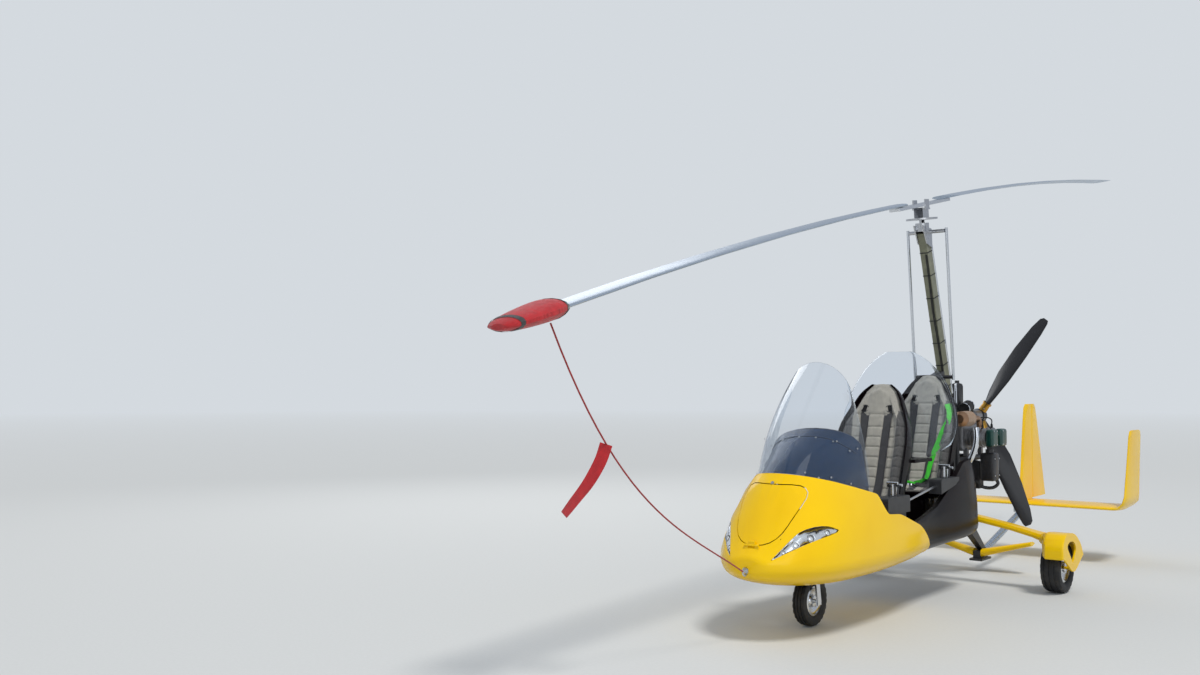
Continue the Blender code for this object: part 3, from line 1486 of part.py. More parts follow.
def make_main_gear():
    rings = []
    half_y = bow_chord / 2
    profile = [(1.0, 0.0), (0.88, 0.42), (0.5, 0.5), (-0.5, 0.5), (-0.88, 0.42), (-1.0, 0.0),
               (-0.88, -0.42), (-0.5, -0.5), (0.5, -0.5), (0.88, -0.42)]
    for x, drop, chord, thick in bow_table:
        rings.append((x, bow_mid_z - drop, chord, thick))
    both = [(-x, z, c, t) for x, z, c, t in reversed(rings[1:])] + rings
    sections = []
    for x, z, chord, thick in both:
        sections.append([Vector((x, main_axle_y + half_y * chord * a, z + bow_thickness * thick * b))
                         for a, b in profile])
    bow = fused([loft(sections), spat(1), spat(-1)])
    add("main_gear_bow", bow, yellow)
    for side, label in ((1, "port"), (-1, "starboard")):
        make_wheel(f"main_wheel_{label}", (side * half_track, main_axle_y, main_wheel_radius), main_wheel_radius,
                   main_wheel_half, main_rim_radius, None, 28)


# Tail: one wing with an end fin turned up at each tip, a middle fin and its rudder
stab_half = 0.700
stab_chord = 0.500
stab_thickness = 0.040
end_fin_x = 0.785
end_fin_top_z = 1.030
mid_fin_top_z = 1.230
mid_fin_thickness = 0.030
hinge_line_y = 2.130
rudder_gap = 0.006
rudder_foot_gap = 0.012
rudder_pin_radius = 0.007
tail_pad_inset = 0.025
tail_pad_over = 0.030
fin_nose_depth = 0.035
end_fin_table = [
    # x beyond the wing, z up the fin (as shares), leading edge y, chord
    (0.00, 0.000, 1.860, 0.500),
    (0.45, 0.006, 1.862, 0.495),
    (0.85, 0.060, 1.872, 0.470),
    (1.00, 0.150, 1.892, 0.425),
    (1.00, 0.550, 1.975, 0.375),
    (1.00, 0.920, 2.045, 0.342),
    (1.00, 0.985, 2.075, 0.300),
    (1.00, 1.000, 2.120, 0.210),
]
mid_fin_table = [
    # z share, leading edge y, trailing edge y
    (0.000, 1.835, 2.462),
    (0.300, 1.872, 2.400),
    (0.850, 1.945, 2.275),
    (0.960, 1.965, 2.245),
    (1.000, 2.000, 2.215),
]


def make_tail():
    rings = []
    for x in (-stab_half, -stab_half / 2, 0.0, stab_half / 2, stab_half):
        rings.append(foil_ring(Vector((x, tail_front_y, tail_z)), Vector((0, 1, 0)), Vector((0, 0, 1)),
                               stab_chord, stab_thickness))
    pad = block((-boom_radius * 1.4, tail_front_y + tail_pad_inset, tail_z - stab_thickness / 2),
                (boom_radius * 1.4, hinge_line_y + tail_pad_over, tail_z + stab_thickness / 2))
    add("horizontal_stabilizer", fused([loft(rings), pad]), yellow)

    for side, label in ((1, "port"), (-1, "starboard")):
        spots = []
        for out, rise, lead, chord in end_fin_table:
            x = stab_half + seat_gap + (end_fin_x - stab_half) * out
            z = tail_z + (end_fin_top_z - tail_z) * rise
            spots.append((Vector((side * x, lead, z)), chord))
        rings = []
        for i, (lead, chord) in enumerate(spots):
            before, after = spots[max(i - 1, 0)][0], spots[min(i + 1, len(spots) - 1)][0]
            run = Vector((after.x - before.x, 0, after.z - before.z)).normalized()
            if i == 0:
                run = Vector((side, 0, 0))
            up = Vector((-run.z, 0, run.x)) * side
            rings.append(foil_ring(lead, Vector((0, 1, 0)), up, chord, stab_thickness * (1 - 0.45 * min(i / 4, 1))))
        add(f"end_fin_{label}", loft(rings), yellow)

    low_z = tail_z + stab_thickness / 2 + seat_gap
    fin_rings, rudder_rings = [], []
    rudder_low = low_z + rudder_foot_gap
    for share, lead, trail in mid_fin_table:
        z = low_z + (mid_fin_top_z - low_z) * share
        half = mid_fin_thickness / 2
        back = hinge_line_y - half - rudder_gap
        fin_rings.append([
            Vector((0, lead, z)), Vector((half * 0.75, lead + fin_nose_depth, z)),
            Vector((half, lead + (back - lead) * 0.6, z)),
            Vector((half, back, z)), Vector((-half, back, z)), Vector((-half, lead + (back - lead) * 0.6, z)),
            Vector((-half * 0.75, lead + fin_nose_depth, z)),
        ])
        z = rudder_low + (mid_fin_top_z - rudder_low) * share
        rudder_rings.append([
            Vector((0, hinge_line_y - half, z)), Vector((half * 0.72, hinge_line_y - half * 0.7, z)),
            Vector((half, hinge_line_y, z)), Vector((half * 0.55, hinge_line_y + (trail - hinge_line_y) * 0.55, z)),
            Vector((half * 0.10, trail, z)), Vector((-half * 0.10, trail, z)),
            Vector((-half * 0.55, hinge_line_y + (trail - hinge_line_y) * 0.55, z)), Vector((-half, hinge_line_y, z)),
            Vector((-half * 0.72, hinge_line_y - half * 0.7, z)),
        ])
    add("center_fin", loft(fin_rings), yellow)
    hanger = pivot("rudder_pivot", (0, hinge_line_y, rudder_low))
    pin = turned([(rudder_pin_radius, 0.0), (rudder_pin_radius, rudder_foot_gap * 2)],
                 (0, hinge_line_y, low_z), (0, 0, 1), 12)
    add("rudder", fused([loft(rudder_rings), pin]), yellow, hanger)


# Engine: flat four on its bearers, gearbox behind, with what hangs round it
crank_y = 0.640
crank_z = 1.010
crank_half_x = 0.105
crank_half_y = 0.205
crank_half_z = 0.095
barrel_radius = 0.058
fin_radius = 0.070
fin_thickness = 0.006
barrel_reach = 0.235
cylinder_ys = (0.540, 0.715)
cover_reach = 0.300
cover_half_y = 0.055
cover_half_z = 0.062
gearbox_radius = 0.082
gearbox_back_y = 0.955
flange_radius = 0.050
engine_lug = 0.030
prop_radius = 0.872
prop_hub_radius = 0.055
prop_hub_length = 0.060
prop_chord = 0.145
prop_axis_share = 0.33
prop_angles = (53.8, 173.8, 293.8)
prop_table = [
    # radius share, chord share, pitch in degrees, thickness share of chord
    (0.05, 0.42, 58.0, 0.60),
    (0.12, 0.55, 52.0, 0.42),
    (0.22, 0.85, 42.0, 0.22),
    (0.40, 1.00, 30.0, 0.15),
    (0.65, 0.92, 21.0, 0.12),
    (0.88, 0.70, 16.0, 0.10),
    (0.975, 0.50, 14.0, 0.10),
    (1.00, 0.28, 14.0, 0.10),
]
radiator_half_x = 0.150
radiator_front_y = 0.620
radiator_back_y = 0.700
radiator_low_z = 0.640
radiator_high_z = 0.838
muffler_radius = 0.052
muffler_front_y = 0.170
muffler_back_y = 0.380
muffler_x = 0.185
muffler_z = 1.150
airbox_half = 0.070
crank_rounding = 0.025
gearbox_inset = 0.015
gearbox_rise = 0.030
gearbox_depth = 0.075
gearbox_cap = 0.023
bracket_inset = 0.030
bracket_reach = 0.050
bracket_rounding = 0.010
lug_inset = 0.020
cover_rounding = 0.018
cover_bridge_radius = 0.014
airbox_rounding = 0.015
inlet_radius = 0.026
can_shoulder = 0.030
pipe_radius = 0.020
pipe_bend = 0.050
pipe_inset = 0.020
pipe_tail = 0.010
radiator_rounding = 0.012
radiator_tab = 0.020
flange_seat = 0.002


def make_engine():
    parts = [block((-crank_half_x, crank_y - crank_half_y, crank_z - crank_half_z),
                   (crank_half_x, crank_y + crank_half_y, crank_z + crank_half_z), crank_rounding)]
    for side in (-1, 1):
        for y in cylinder_ys:
            profile = [(barrel_radius, 0.0)]
            start = crank_half_x * 0.7
            count = 4
            for k in range(count):
                place = start + (barrel_reach - start) * (k + 0.5) / count
                profile += [(barrel_radius, place - fin_thickness), (fin_radius, place - fin_thickness / 2),
                            (fin_radius, place + fin_thickness / 2), (barrel_radius, place + fin_thickness)]
            profile.append((barrel_radius, barrel_reach + fin_thickness))
            parts.append(turned(profile, (0, y, crank_z), (side, 0, 0), 14))
    parts.append(turned([(gearbox_radius, 0.0), (gearbox_radius, gearbox_depth),
                         (gearbox_radius * 0.75, gearbox_depth + gearbox_cap)],
                        (0, crank_y + crank_half_y - gearbox_inset, crank_z + gearbox_rise), (0, 1, 0), 24))
    nose = gearbox_back_y - (crank_y + crank_half_y)
    parts.append(turned([(flange_radius, 0.0), (flange_radius, nose - seat_gap)],
                        (0, crank_y + crank_half_y, prop_z), (0, 1, 0), 20))
    parts.append(block((-flange_radius, crank_y + crank_half_y - bracket_inset, crank_z),
                       (flange_radius, crank_y + crank_half_y + bracket_reach, prop_z), bracket_rounding))
    for side in (-1, 1):
        for y in (crank_y - crank_half_y * 0.7, crank_y + crank_half_y * 0.6):
            x = side * frame_leg_x
            parts.append(block((x - engine_lug / 2, y - engine_lug / 2, bearer_z + frame_tube + seat_gap),
                               (x + engine_lug / 2, y + engine_lug / 2, crank_z - crank_half_z + lug_inset)))
    add("engine", fused(parts), cast_metal)

    for side, label in ((1, "port"), (-1, "starboard")):
        caps = []
        low, high = sorted((side * (barrel_reach + fin_thickness + seat_gap), side * cover_reach))
        for y in cylinder_ys:
            caps.append(block((low, y - cover_half_y, crank_z - cover_half_z),
                              (high, y + cover_half_y, crank_z + cover_half_z), cover_rounding))
        middle = (low + high) / 2
        bridge_z = crank_z + cover_half_z * 0.4
        caps.append(tube([(middle, cylinder_ys[0], bridge_z), (middle, cylinder_ys[1], bridge_z)],
                         cover_bridge_radius, 10))
        add(f"rocker_covers_{label}", fused(caps), finish(f"green_paint_{label}", (0.01, 0.10, 0.07), 0.35))

    pieces = [block((-airbox_half, cylinder_ys[0] - airbox_half, crank_z + crank_half_z + seat_gap),
                    (airbox_half, cylinder_ys[0] + airbox_half, crank_z + crank_half_z + airbox_half * 0.9), airbox_rounding)]
    for side in (-1, 1):
        inlet_z = crank_z + crank_half_z + airbox_half * 0.45
        pieces.append(tube([(side * airbox_half * 0.5, cylinder_ys[0], inlet_z),
                            (side * muffler_x * 0.8, cylinder_ys[0], inlet_z)], inlet_radius, 12))
    add("intake", fused(pieces), alloy)

    x = muffler_x
    length = muffler_back_y - muffler_front_y
    can = turned([(muffler_radius * 0.6, 0.0), (muffler_radius, can_shoulder), (muffler_radius, length - can_shoulder),
                  (muffler_radius * 0.6, length)], (x, muffler_front_y, muffler_z), (0, 1, 0), 20)
    pipe_end = Vector((x, cylinder_ys[0], crank_z + fin_radius + seat_gap))
    pipe = tube(bent([(x, muffler_back_y - can_shoulder, muffler_z), (x, cylinder_ys[0] - pipe_inset, muffler_z),
                      pipe_end + Vector((0, 0, pipe_tail)), pipe_end], pipe_bend), pipe_radius, 12)
    add("exhaust", fused([can, pipe]), rust_brown)

    add("radiator", fused([
        block((-radiator_half_x, radiator_front_y, radiator_low_z), (radiator_half_x, radiator_back_y, radiator_high_z),
              radiator_rounding),
        block((-frame_leg_x - engine_lug / 2, radiator_front_y + radiator_tab, radiator_high_z - radiator_tab),
              (-frame_leg_x + engine_lug / 2, radiator_back_y - radiator_tab, bearer_z - frame_tube - seat_gap)),
        block((frame_leg_x - engine_lug / 2, radiator_front_y + radiator_tab, radiator_high_z - radiator_tab),
              (frame_leg_x + engine_lug / 2, radiator_back_y - radiator_tab, bearer_z - frame_tube - seat_gap)),
    ]), matt_black)


def make_propeller():
    place = Vector((0, prop_y, prop_z))
    hanger = pivot("propeller_pivot", place)
    front = gearbox_back_y
    parts = [turned([(flange_radius, 0.0), (flange_radius, prop_y - prop_hub_length / 2 - front + flange_seat)],
                    (0, front, prop_z), (0, 1, 0), 20)]
    parts.append(turned([(prop_hub_radius, -prop_hub_length / 2), (prop_hub_radius, prop_hub_length / 2),
                         (prop_hub_radius * 0.6, prop_hub_length * 0.75)], place, (0, 1, 0), 24))
    for angle in prop_angles:
        angle = math.radians(angle)
        out = Vector((math.cos(angle), 0, math.sin(angle)))
        side_way = out.cross(Vector((0, 1, 0)))
        rings = []
        for radius_share, chord_share, pitch, thick_share in prop_table:
            pitch = math.radians(pitch)
            chord = prop_chord * chord_share
            chord_way = side_way * math.cos(pitch) + Vector((0, 1, 0)) * math.sin(pitch)
            up = out.cross(chord_way)
            lead = place + out * prop_radius * radius_share - chord_way * chord * prop_axis_share
            rings.append(foil_ring(lead, chord_way, up, chord, chord * thick_share))
        parts.append(loft(rings))
    add("propeller", fused(parts), matt_black, hanger)


make_pod()
make_screens()
make_tub()
make_seat("front", front_hip_y, front_hip_z, True)
make_seat("rear", rear_hip_y, rear_hip_z, False)
make_controls()
make_nose_frame()
make_nose_gear()
make_tow_hook()
make_mast()
make_rotor()
make_keel()
make_main_gear()
make_tail()
make_engine()
make_propeller()
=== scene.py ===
# %% [markdown]
# This lesson dresses a two-seat gyrocopter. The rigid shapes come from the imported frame, already at their
# real size, so the work here is finish and detail: gelcoat, acrylic, cloth, rubber, castings and the small
# fittings that a builder bolts on.

# %% Load the frame
import json
import math

import bmesh
import bpy
from mathutils import Matrix, Vector
from mathutils.bvhtree import BVHTree


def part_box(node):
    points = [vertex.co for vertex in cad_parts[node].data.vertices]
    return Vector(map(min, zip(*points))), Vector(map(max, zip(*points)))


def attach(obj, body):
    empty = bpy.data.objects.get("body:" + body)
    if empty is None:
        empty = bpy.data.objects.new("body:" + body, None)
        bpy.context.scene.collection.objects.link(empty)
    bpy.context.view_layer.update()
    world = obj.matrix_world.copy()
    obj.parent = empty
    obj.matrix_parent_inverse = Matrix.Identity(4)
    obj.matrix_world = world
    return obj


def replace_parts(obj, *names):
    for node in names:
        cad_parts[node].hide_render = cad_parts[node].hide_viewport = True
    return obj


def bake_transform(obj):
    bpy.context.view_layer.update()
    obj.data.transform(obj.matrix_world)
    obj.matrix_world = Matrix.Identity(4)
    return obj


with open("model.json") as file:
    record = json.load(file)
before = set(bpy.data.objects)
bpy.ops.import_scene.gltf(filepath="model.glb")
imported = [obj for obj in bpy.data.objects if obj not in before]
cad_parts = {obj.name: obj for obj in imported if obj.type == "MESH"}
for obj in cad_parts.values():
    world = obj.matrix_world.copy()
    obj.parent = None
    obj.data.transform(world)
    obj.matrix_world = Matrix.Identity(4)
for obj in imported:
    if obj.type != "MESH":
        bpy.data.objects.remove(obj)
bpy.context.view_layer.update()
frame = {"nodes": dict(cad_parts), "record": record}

nodes = frame["nodes"]
scene = bpy.context.scene

# %% [markdown]
# The photograph was taken standing, a few metres off the port bow, so the camera stands at eye height and
# looks back along the machine. A plain camera without shift or depth of field gives the same lines: the
# focal length sets how fast the long rotor shrinks towards its far tip.

# %% Camera
eye = Vector((3.307, -7.557, 1.374))
heading, pitch = math.radians(39.24), math.radians(2.43)


def put(name, data):
    """A new object at the origin, linked to the scene."""
    item = bpy.data.objects.new(name, data)
    scene.collection.objects.link(item)
    return item


def aim(item, direction):
    """Turn a camera or a lamp so that it looks in a direction."""
    item.rotation_mode = "QUATERNION"
    item.rotation_quaternion = Vector(direction).to_track_quat("-Z", "Y")


camera_data = bpy.data.cameras.new("camera")
camera_data.lens, camera_data.sensor_width = 34.66, 36.0
camera_data.dof.use_dof = False
camera_data.clip_end = 1000
camera = put("camera", camera_data)
camera.location = eye
aim(camera, (-math.sin(heading) * math.cos(pitch), math.cos(heading) * math.cos(pitch), math.sin(pitch)))
scene.camera = camera
scene.view_settings.view_transform = "Standard"
print("camera at", [round(v, 2) for v in eye], "lens", camera_data.lens)

# %% [markdown]
# Small helpers keep each later cell short. A material here is one Principled shader with a few texture
# nodes in front of it. Every pattern reads Object coordinates, so it stays put on the piece from any side.

# %% Material helpers
def node(owner, kind, **values):
    """A shader node whose settings and sockets are given by name."""
    made = owner.node_tree.nodes.new(kind)
    for key, value in values.items():
        if hasattr(made, key):
            setattr(made, key, value)
        else:
            made.inputs[key.replace("_", " ")].default_value = value
    return made


def join(socket, target, name):
    socket.id_data.links.new(socket, target.inputs[name])


def shader_of(material):
    return material.node_tree.nodes["Principled BSDF"]


def new_material(name, colour, roughness, metallic=0.0, **sockets):
    material = bpy.data.materials.new(name)
    material.use_nodes = True
    sockets |= {"Base_Color": (*colour, 1.0), "Roughness": roughness, "Metallic": metallic}
    for key, value in sockets.items():
        shader_of(material).inputs[key.replace("_", " ")].default_value = value
    return material


def place_on(owner, stretch=(1, 1, 1), turn=(0, 0, 0)):
    """Object coordinates, stretched or turned for a pattern that runs one way."""
    mapping = node(owner, "ShaderNodeMapping", Scale=stretch, Rotation=turn)
    join(node(owner, "ShaderNodeTexCoord").outputs["Object"], mapping, "Vector")
    return mapping.outputs["Vector"]


def speckle(material, size, stretch=(1, 1, 1), detail=3.0):
    """Noise whose features are about size metres across."""
    noise = node(material, "ShaderNodeTexNoise", Scale=1.0 / size, Detail=detail)
    join(place_on(material, stretch), noise, "Vector")
    return noise.outputs["Fac"]


def vary_colour(material, pattern, low, high, start=0.3, end=0.7):
    """Lead a pattern through a two-colour ramp into the base colour."""
    ramp = node(material, "ShaderNodeValToRGB")
    first, last = ramp.color_ramp.elements
    first.position, last.position = start, end
    first.color, last.color = (*low, 1), (*high, 1)
    join(pattern, ramp, "Fac")
    join(ramp.outputs["Color"], shader_of(material), "Base Color")


def vary_roughness(material, pattern, low, high):
    spread = node(material, "ShaderNodeMapRange", To_Min=low, To_Max=high)
    join(pattern, spread, "Value")
    join(spread.outputs["Result"], shader_of(material), "Roughness")


def raise_bumps(material, pattern, depth, strength):
    bump = node(material, "ShaderNodeBump", Strength=strength, Distance=depth)
    join(pattern, bump, "Height")
    join(bump.outputs["Normal"], shader_of(material), "Normal")


print("material helpers ready")

# %% [markdown]
# Moulded shells are gelcoat: colour under a clear gloss. A real one is never quite even, so the yellow gets
# a slow shift of tone and a very fine orange-peel ripple under the coat, which breaks up the reflections.

# %% Gelcoat finishes
def gelcoat(name, colour, deeper, coat, roughness, specular):
    material = new_material(name, colour, roughness, Coat_Weight=coat, Coat_Roughness=0.05,
                            Specular_IOR_Level=specular)
    vary_colour(material, speckle(material, 0.5), deeper, colour, 0.30, 0.62)
    raise_bumps(material, speckle(material, 0.012, detail=2.0), 0.0004, 0.10)
    return material


yellow_gelcoat = gelcoat("yellow_gelcoat", (0.930, 0.590, 0.001), (0.880, 0.530, 0.001), 0.20, 0.26, 0.22)
black_gelcoat = gelcoat("black_gelcoat", (0.006, 0.006, 0.007), (0.009, 0.004, 0.005), 0.02, 0.24, 0.06)
navy_gelcoat = gelcoat("navy_gelcoat", (0.006, 0.026, 0.070), (0.004, 0.018, 0.050), 0.10, 0.22, 0.16)
black_blade = gelcoat("black_blade", (0.024, 0.024, 0.027), (0.015, 0.015, 0.017), 0.12, 0.30, 0.35)
print("gelcoats:", yellow_gelcoat.name, black_gelcoat.name, navy_gelcoat.name, black_blade.name)

# %% [markdown]
# Bare metal is told apart by its marks. Extruded blades are brushed along their length, turned parts have
# a finer grain, and castings are rough all over. The same noise node does all three once it is stretched.

# %% Metals and paints
def brushed(name, colour, roughness, stretch=(1, 1, 1), size=0.01, metallic=1.0):
    material = new_material(name, colour, roughness, metallic)
    grain = speckle(material, size, stretch, 4.0)
    vary_colour(material, grain, tuple(c * 0.82 for c in colour), colour, 0.25, 0.75)
    vary_roughness(material, grain, roughness * 0.75, roughness * 1.3)
    raise_bumps(material, grain, 0.0002, 0.15)
    return material


def coated(name, colour, roughness, size=0.02, worn=None):
    material = new_material(name, colour, roughness, Coat_Weight=0.25, Coat_Roughness=0.2)
    patches = speckle(material, size, detail=4.0)
    vary_colour(material, patches, colour, worn or tuple(min(c * 1.5 + 0.01, 1) for c in colour), 0.45, 0.85)
    vary_roughness(material, patches, roughness * 0.85, roughness * 1.25)
    raise_bumps(material, speckle(material, size * 0.1), 0.0003, 0.2)
    return material


blade_metal = brushed("blade_metal", (0.50, 0.58, 0.68), 0.30, (6, 0.15, 6), metallic=0.75)
bright_alloy = brushed("bright_alloy", (0.78, 0.80, 0.83), 0.24, (3, 0.6, 3))
bright_steel = brushed("bright_steel", (0.60, 0.61, 0.63), 0.28, (1, 1, 4))
engine_castings = brushed("engine_castings", (0.34, 0.34, 0.35), 0.42, size=0.004, metallic=0.85)
boom_metal = brushed("boom_metal", (0.52, 0.60, 0.70), 0.26, (5, 0.3, 5))
heated_steel = brushed("heated_steel", (0.42, 0.25, 0.15), 0.38, (1, 0.4, 1), 0.05, 0.85)
amber_metal = brushed("amber_metal", (0.62, 0.34, 0.06), 0.28)
chrome = new_material("chrome", (0.88, 0.89, 0.90), 0.06, 1.0)
vary_roughness(chrome, speckle(chrome, 0.02), 0.04, 0.10)
olive_paint = coated("olive_paint", (0.165, 0.165, 0.105), 0.38, 0.05)
black_paint = coated("black_paint", (0.016, 0.016, 0.018), 0.42)
green_paint = coated("green_paint", (0.005, 0.042, 0.034), 0.30, 0.03, (0.010, 0.060, 0.048))
white_paint = coated("white_paint", (0.78, 0.78, 0.76), 0.35)
print("metals and paints:", len(bpy.data.materials))

# %% [markdown]
# Plastic, rubber and acrylic. Acrylic is a clear sheet of real thickness here, so the shader only has to
# let light through: full transmission and a faint blue. Its skins throw no shadow later, because a studio
# lamp would otherwise leave the seats behind it too dark.

# %% Plastic, rubber and clear sheet
dark_plastic = new_material("dark_plastic", (0.030, 0.031, 0.034), 0.45)
raise_bumps(dark_plastic, speckle(dark_plastic, 0.0025), 0.0004, 0.35)
vary_roughness(dark_plastic, speckle(dark_plastic, 0.05), 0.36, 0.55)
soft_rubber = new_material("soft_rubber", (0.016, 0.016, 0.017), 0.62)
raise_bumps(soft_rubber, speckle(soft_rubber, 0.004), 0.0004, 0.3)
vary_colour(soft_rubber, speckle(soft_rubber, 0.06, detail=5), (0.012, 0.012, 0.013), (0.045, 0.042, 0.038),
            0.5, 0.85)
clear_acrylic = new_material("clear_acrylic", (0.86, 0.90, 0.95), 0.02, Transmission_Weight=1.0, IOR=1.42)
vary_roughness(clear_acrylic, speckle(clear_acrylic, 0.2), 0.01, 0.05)
lamp_lens = new_material("lamp_lens", (0.96, 0.98, 1.0), 0.02, Transmission_Weight=1.0, IOR=1.35)
vary_roughness(lamp_lens, speckle(lamp_lens, 0.05), 0.01, 0.06)
print("plastic, rubber and acrylic ready")

# %% [markdown]
# Woven cloth needs thread. Two wave textures at right angles make an over-and-under weave; their scale is
# set by a thread of about a millimetre, and a slow noise adds the unevenness of dyed fibre.

# %% Cloth finishes
def woven(name, colour, darker, thread=0.0016, roughness=0.85, sheen=0.3):
    material = new_material(name, colour, roughness, Sheen_Weight=sheen, Sheen_Roughness=0.5)
    cross = node(material, "ShaderNodeMath", operation="MULTIPLY")
    for k, (bands, lean) in enumerate((("X", 0), ("Z", 0.35))):
        wave = node(material, "ShaderNodeTexWave", Scale=0.5 / thread, Distortion=0.6, bands_direction=bands)
        join(place_on(material, turn=(lean, 0, 0)), wave, "Vector")
        join(wave.outputs["Fac"], cross, k)
    both = node(material, "ShaderNodeMath", operation="ADD")
    join(cross.outputs[0], both, 0)
    join(speckle(material, 0.03, detail=5), both, 1)
    vary_colour(material, both.outputs[0], darker, colour, 0.35, 1.0)
    raise_bumps(material, cross.outputs[0], 0.0006, 0.6)
    return material


grey_cloth = woven("grey_cloth", (0.300, 0.295, 0.265), (0.150, 0.148, 0.135))
dark_cloth = woven("dark_cloth", (0.060, 0.060, 0.060), (0.020, 0.020, 0.022))
red_cloth = woven("red_cloth", (0.560, 0.012, 0.016), (0.300, 0.006, 0.010), 0.002, 0.6, 0.2)
red_cord = woven("red_cord", (0.420, 0.020, 0.018), (0.220, 0.010, 0.010), 0.0012)
green_strap = woven("green_strap", (0.060, 0.720, 0.030), (0.020, 0.420, 0.015), 0.0014)
print("cloths ready")

# %% [markdown]
# The frame's own pieces keep their shapes and take the finishes above. A table of finish and node names is
# easier to check than fifty lines of code, and a count at the end shows that none is left out.

# %% Dress the frame's nodes
finish_of = {
    yellow_gelcoat: [
        "nose_pod", "nose_hatch", "keel_fin_port", "keel_fin_starboard", "main_gear_bow",
        "horizontal_stabilizer", "end_fin_port", "end_fin_starboard", "center_fin", "rudder",
    ],
    black_gelcoat: ["fuselage_tub", "front_seat_shell", "rear_seat_shell"],
    navy_gelcoat: ["instrument_cowl"],
    dark_plastic: [
        "instrument_panel", "lever_console_front", "lever_console_rear", "control_stick_front",
        "control_stick_rear",
    ],
    clear_acrylic: ["front_windscreen", "rear_windscreen"],
    lamp_lens: ["headlamp_port", "headlamp_starboard"],
    bright_steel: ["control_link", "tow_hook", "rotor_head", "rotor_shaft"],
    bright_alloy: [
        "rudder_pedals", "nose_fork", "nose_wheel_rim", "mast_tube", "control_rod_port", "intake",
        "control_rod_starboard", "hub_bar", "main_wheel_port_rim", "main_wheel_starboard_rim",
    ],
    olive_paint: ["mast"],
    blade_metal: ["rotor_blade_front", "rotor_blade_rear"],
    boom_metal: ["tail_boom"],
    red_cloth: ["blade_cover"],
    grey_cloth: ["front_seat_cushion", "rear_seat_cushion"],
    soft_rubber: ["nose_wheel_tyre", "main_wheel_port_tyre", "main_wheel_starboard_tyre"],
    engine_castings: ["engine"],
    green_paint: ["rocker_covers_port", "rocker_covers_starboard"],
    heated_steel: ["exhaust"],
    black_paint: ["keel_frame", "control_crank", "nose_frame", "radiator"],
    black_blade: ["propeller"],
}
dressed = set()
for material, names in finish_of.items():
    for name in names:
        nodes[name].data.materials.clear()
        nodes[name].data.materials.append(material)
        dressed.add(name)
print("dressed", len(dressed), "of", len(nodes), "left:", sorted(set(nodes) - dressed))

# %% [markdown]
# A piece made here is finished in one place: its bmesh becomes an object at the origin, takes its material,
# is shaded smooth with its hard edges kept, and rides on a body of the frame.

# %% Piece helpers
def mesh_of(name, shape):
    mesh = bpy.data.meshes.new(name)
    shape.to_mesh(mesh)
    shape.free()
    return mesh


def finish_piece(name, shape, material, body="airframe", sharp=35):
    mesh = mesh_of(name, shape)
    mesh.materials.append(material)
    mesh.shade_smooth()
    mesh.set_sharp_from_angle(angle=math.radians(sharp))
    item = put(name, mesh)
    if body:
        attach(item, body)
    return item


def joined_copy(node_name):
    """The shape of a frame node with its loose triangles joined."""
    shape = bmesh.new()
    shape.from_mesh(nodes[node_name].data)
    bmesh.ops.remove_doubles(shape, verts=shape.verts, dist=0.00005)
    return shape


def shifted(base, offsets):
    return [base + Vector(v) for v in offsets]


def faces_of(verts):
    return list({f for v in verts for f in v.link_faces})


def turned_to(direction, place=(0, 0, 0)):
    """A matrix that takes +Z to a direction and the origin to a place."""
    turn = Vector(direction).normalized().to_track_quat("Z", "Y").to_matrix().to_4x4()
    return Matrix.Translation(Vector(place)) @ turn


def add_rod(shape, start, end, radius, sides, end_radius=None):
    start, end = Vector(start), Vector(end)
    bmesh.ops.create_cone(
        shape, cap_ends=True, segments=sides, radius1=radius, radius2=radius if end_radius is None else end_radius,
        depth=(end - start).length, matrix=turned_to(end - start, (start + end) / 2),
    )


def add_ring(shape, matrix, radius, far_radius, depth, wall, sides=28):
    """A short tube around the matrix's Z, with a wall."""
    rim = bmesh.ops.create_cone(shape, cap_ends=False, segments=sides, radius1=radius, radius2=far_radius,
                                depth=depth, matrix=matrix)["verts"]
    bmesh.ops.solidify(shape, geom=faces_of(rim), thickness=wall)


def add_box(shape, middle, size, edge, turn=Matrix.Identity(4)):
    """A box with softened edges."""
    matrix = Matrix.Translation(Vector(middle)) @ turn @ Matrix.Diagonal((*size, 1))
    verts = bmesh.ops.create_cube(shape, size=1, matrix=matrix)["verts"]
    edges = list({e for v in verts for e in v.link_edges})
    bmesh.ops.bevel(shape, geom=edges, offset=edge, segments=2, profile=0.5, affect="EDGES", material=-1)


def add_screw(shape, place, direction, radius, height=0.004):
    """A pan head with a sunk socket, standing on a surface."""
    way = Vector(direction).normalized()
    made = bmesh.ops.create_cone(shape, cap_ends=True, segments=12, radius1=radius, radius2=radius * 0.85,
                                 depth=height, matrix=turned_to(way, Vector(place) + way * height / 2))
    top = max(faces_of(made["verts"]), key=lambda f: f.calc_center_median().dot(way))
    bmesh.ops.inset_region(shape, faces=[top], thickness=radius * 0.38)
    bmesh.ops.translate(shape, verts=top.verts, vec=-way * height * 0.5)


def smooth_route(points, steps=6):
    """Points on one smooth line through the given ones."""
    points = [Vector(p) for p in points]
    route = []
    for i in range(len(points) - 1):
        p0, p1, p2, p3 = points[max(i - 1, 0)], points[i], points[i + 1], points[min(i + 2, len(points) - 1)]
        for k in range(steps):
            t = k / steps
            route.append(0.5 * ((2 * p1) + (p2 - p0) * t + (2 * p0 - 5 * p1 + 4 * p2 - p3) * t**2
                                + (3 * p1 - p0 - 3 * p2 + p3) * t**3))
    return route + [points[-1]]


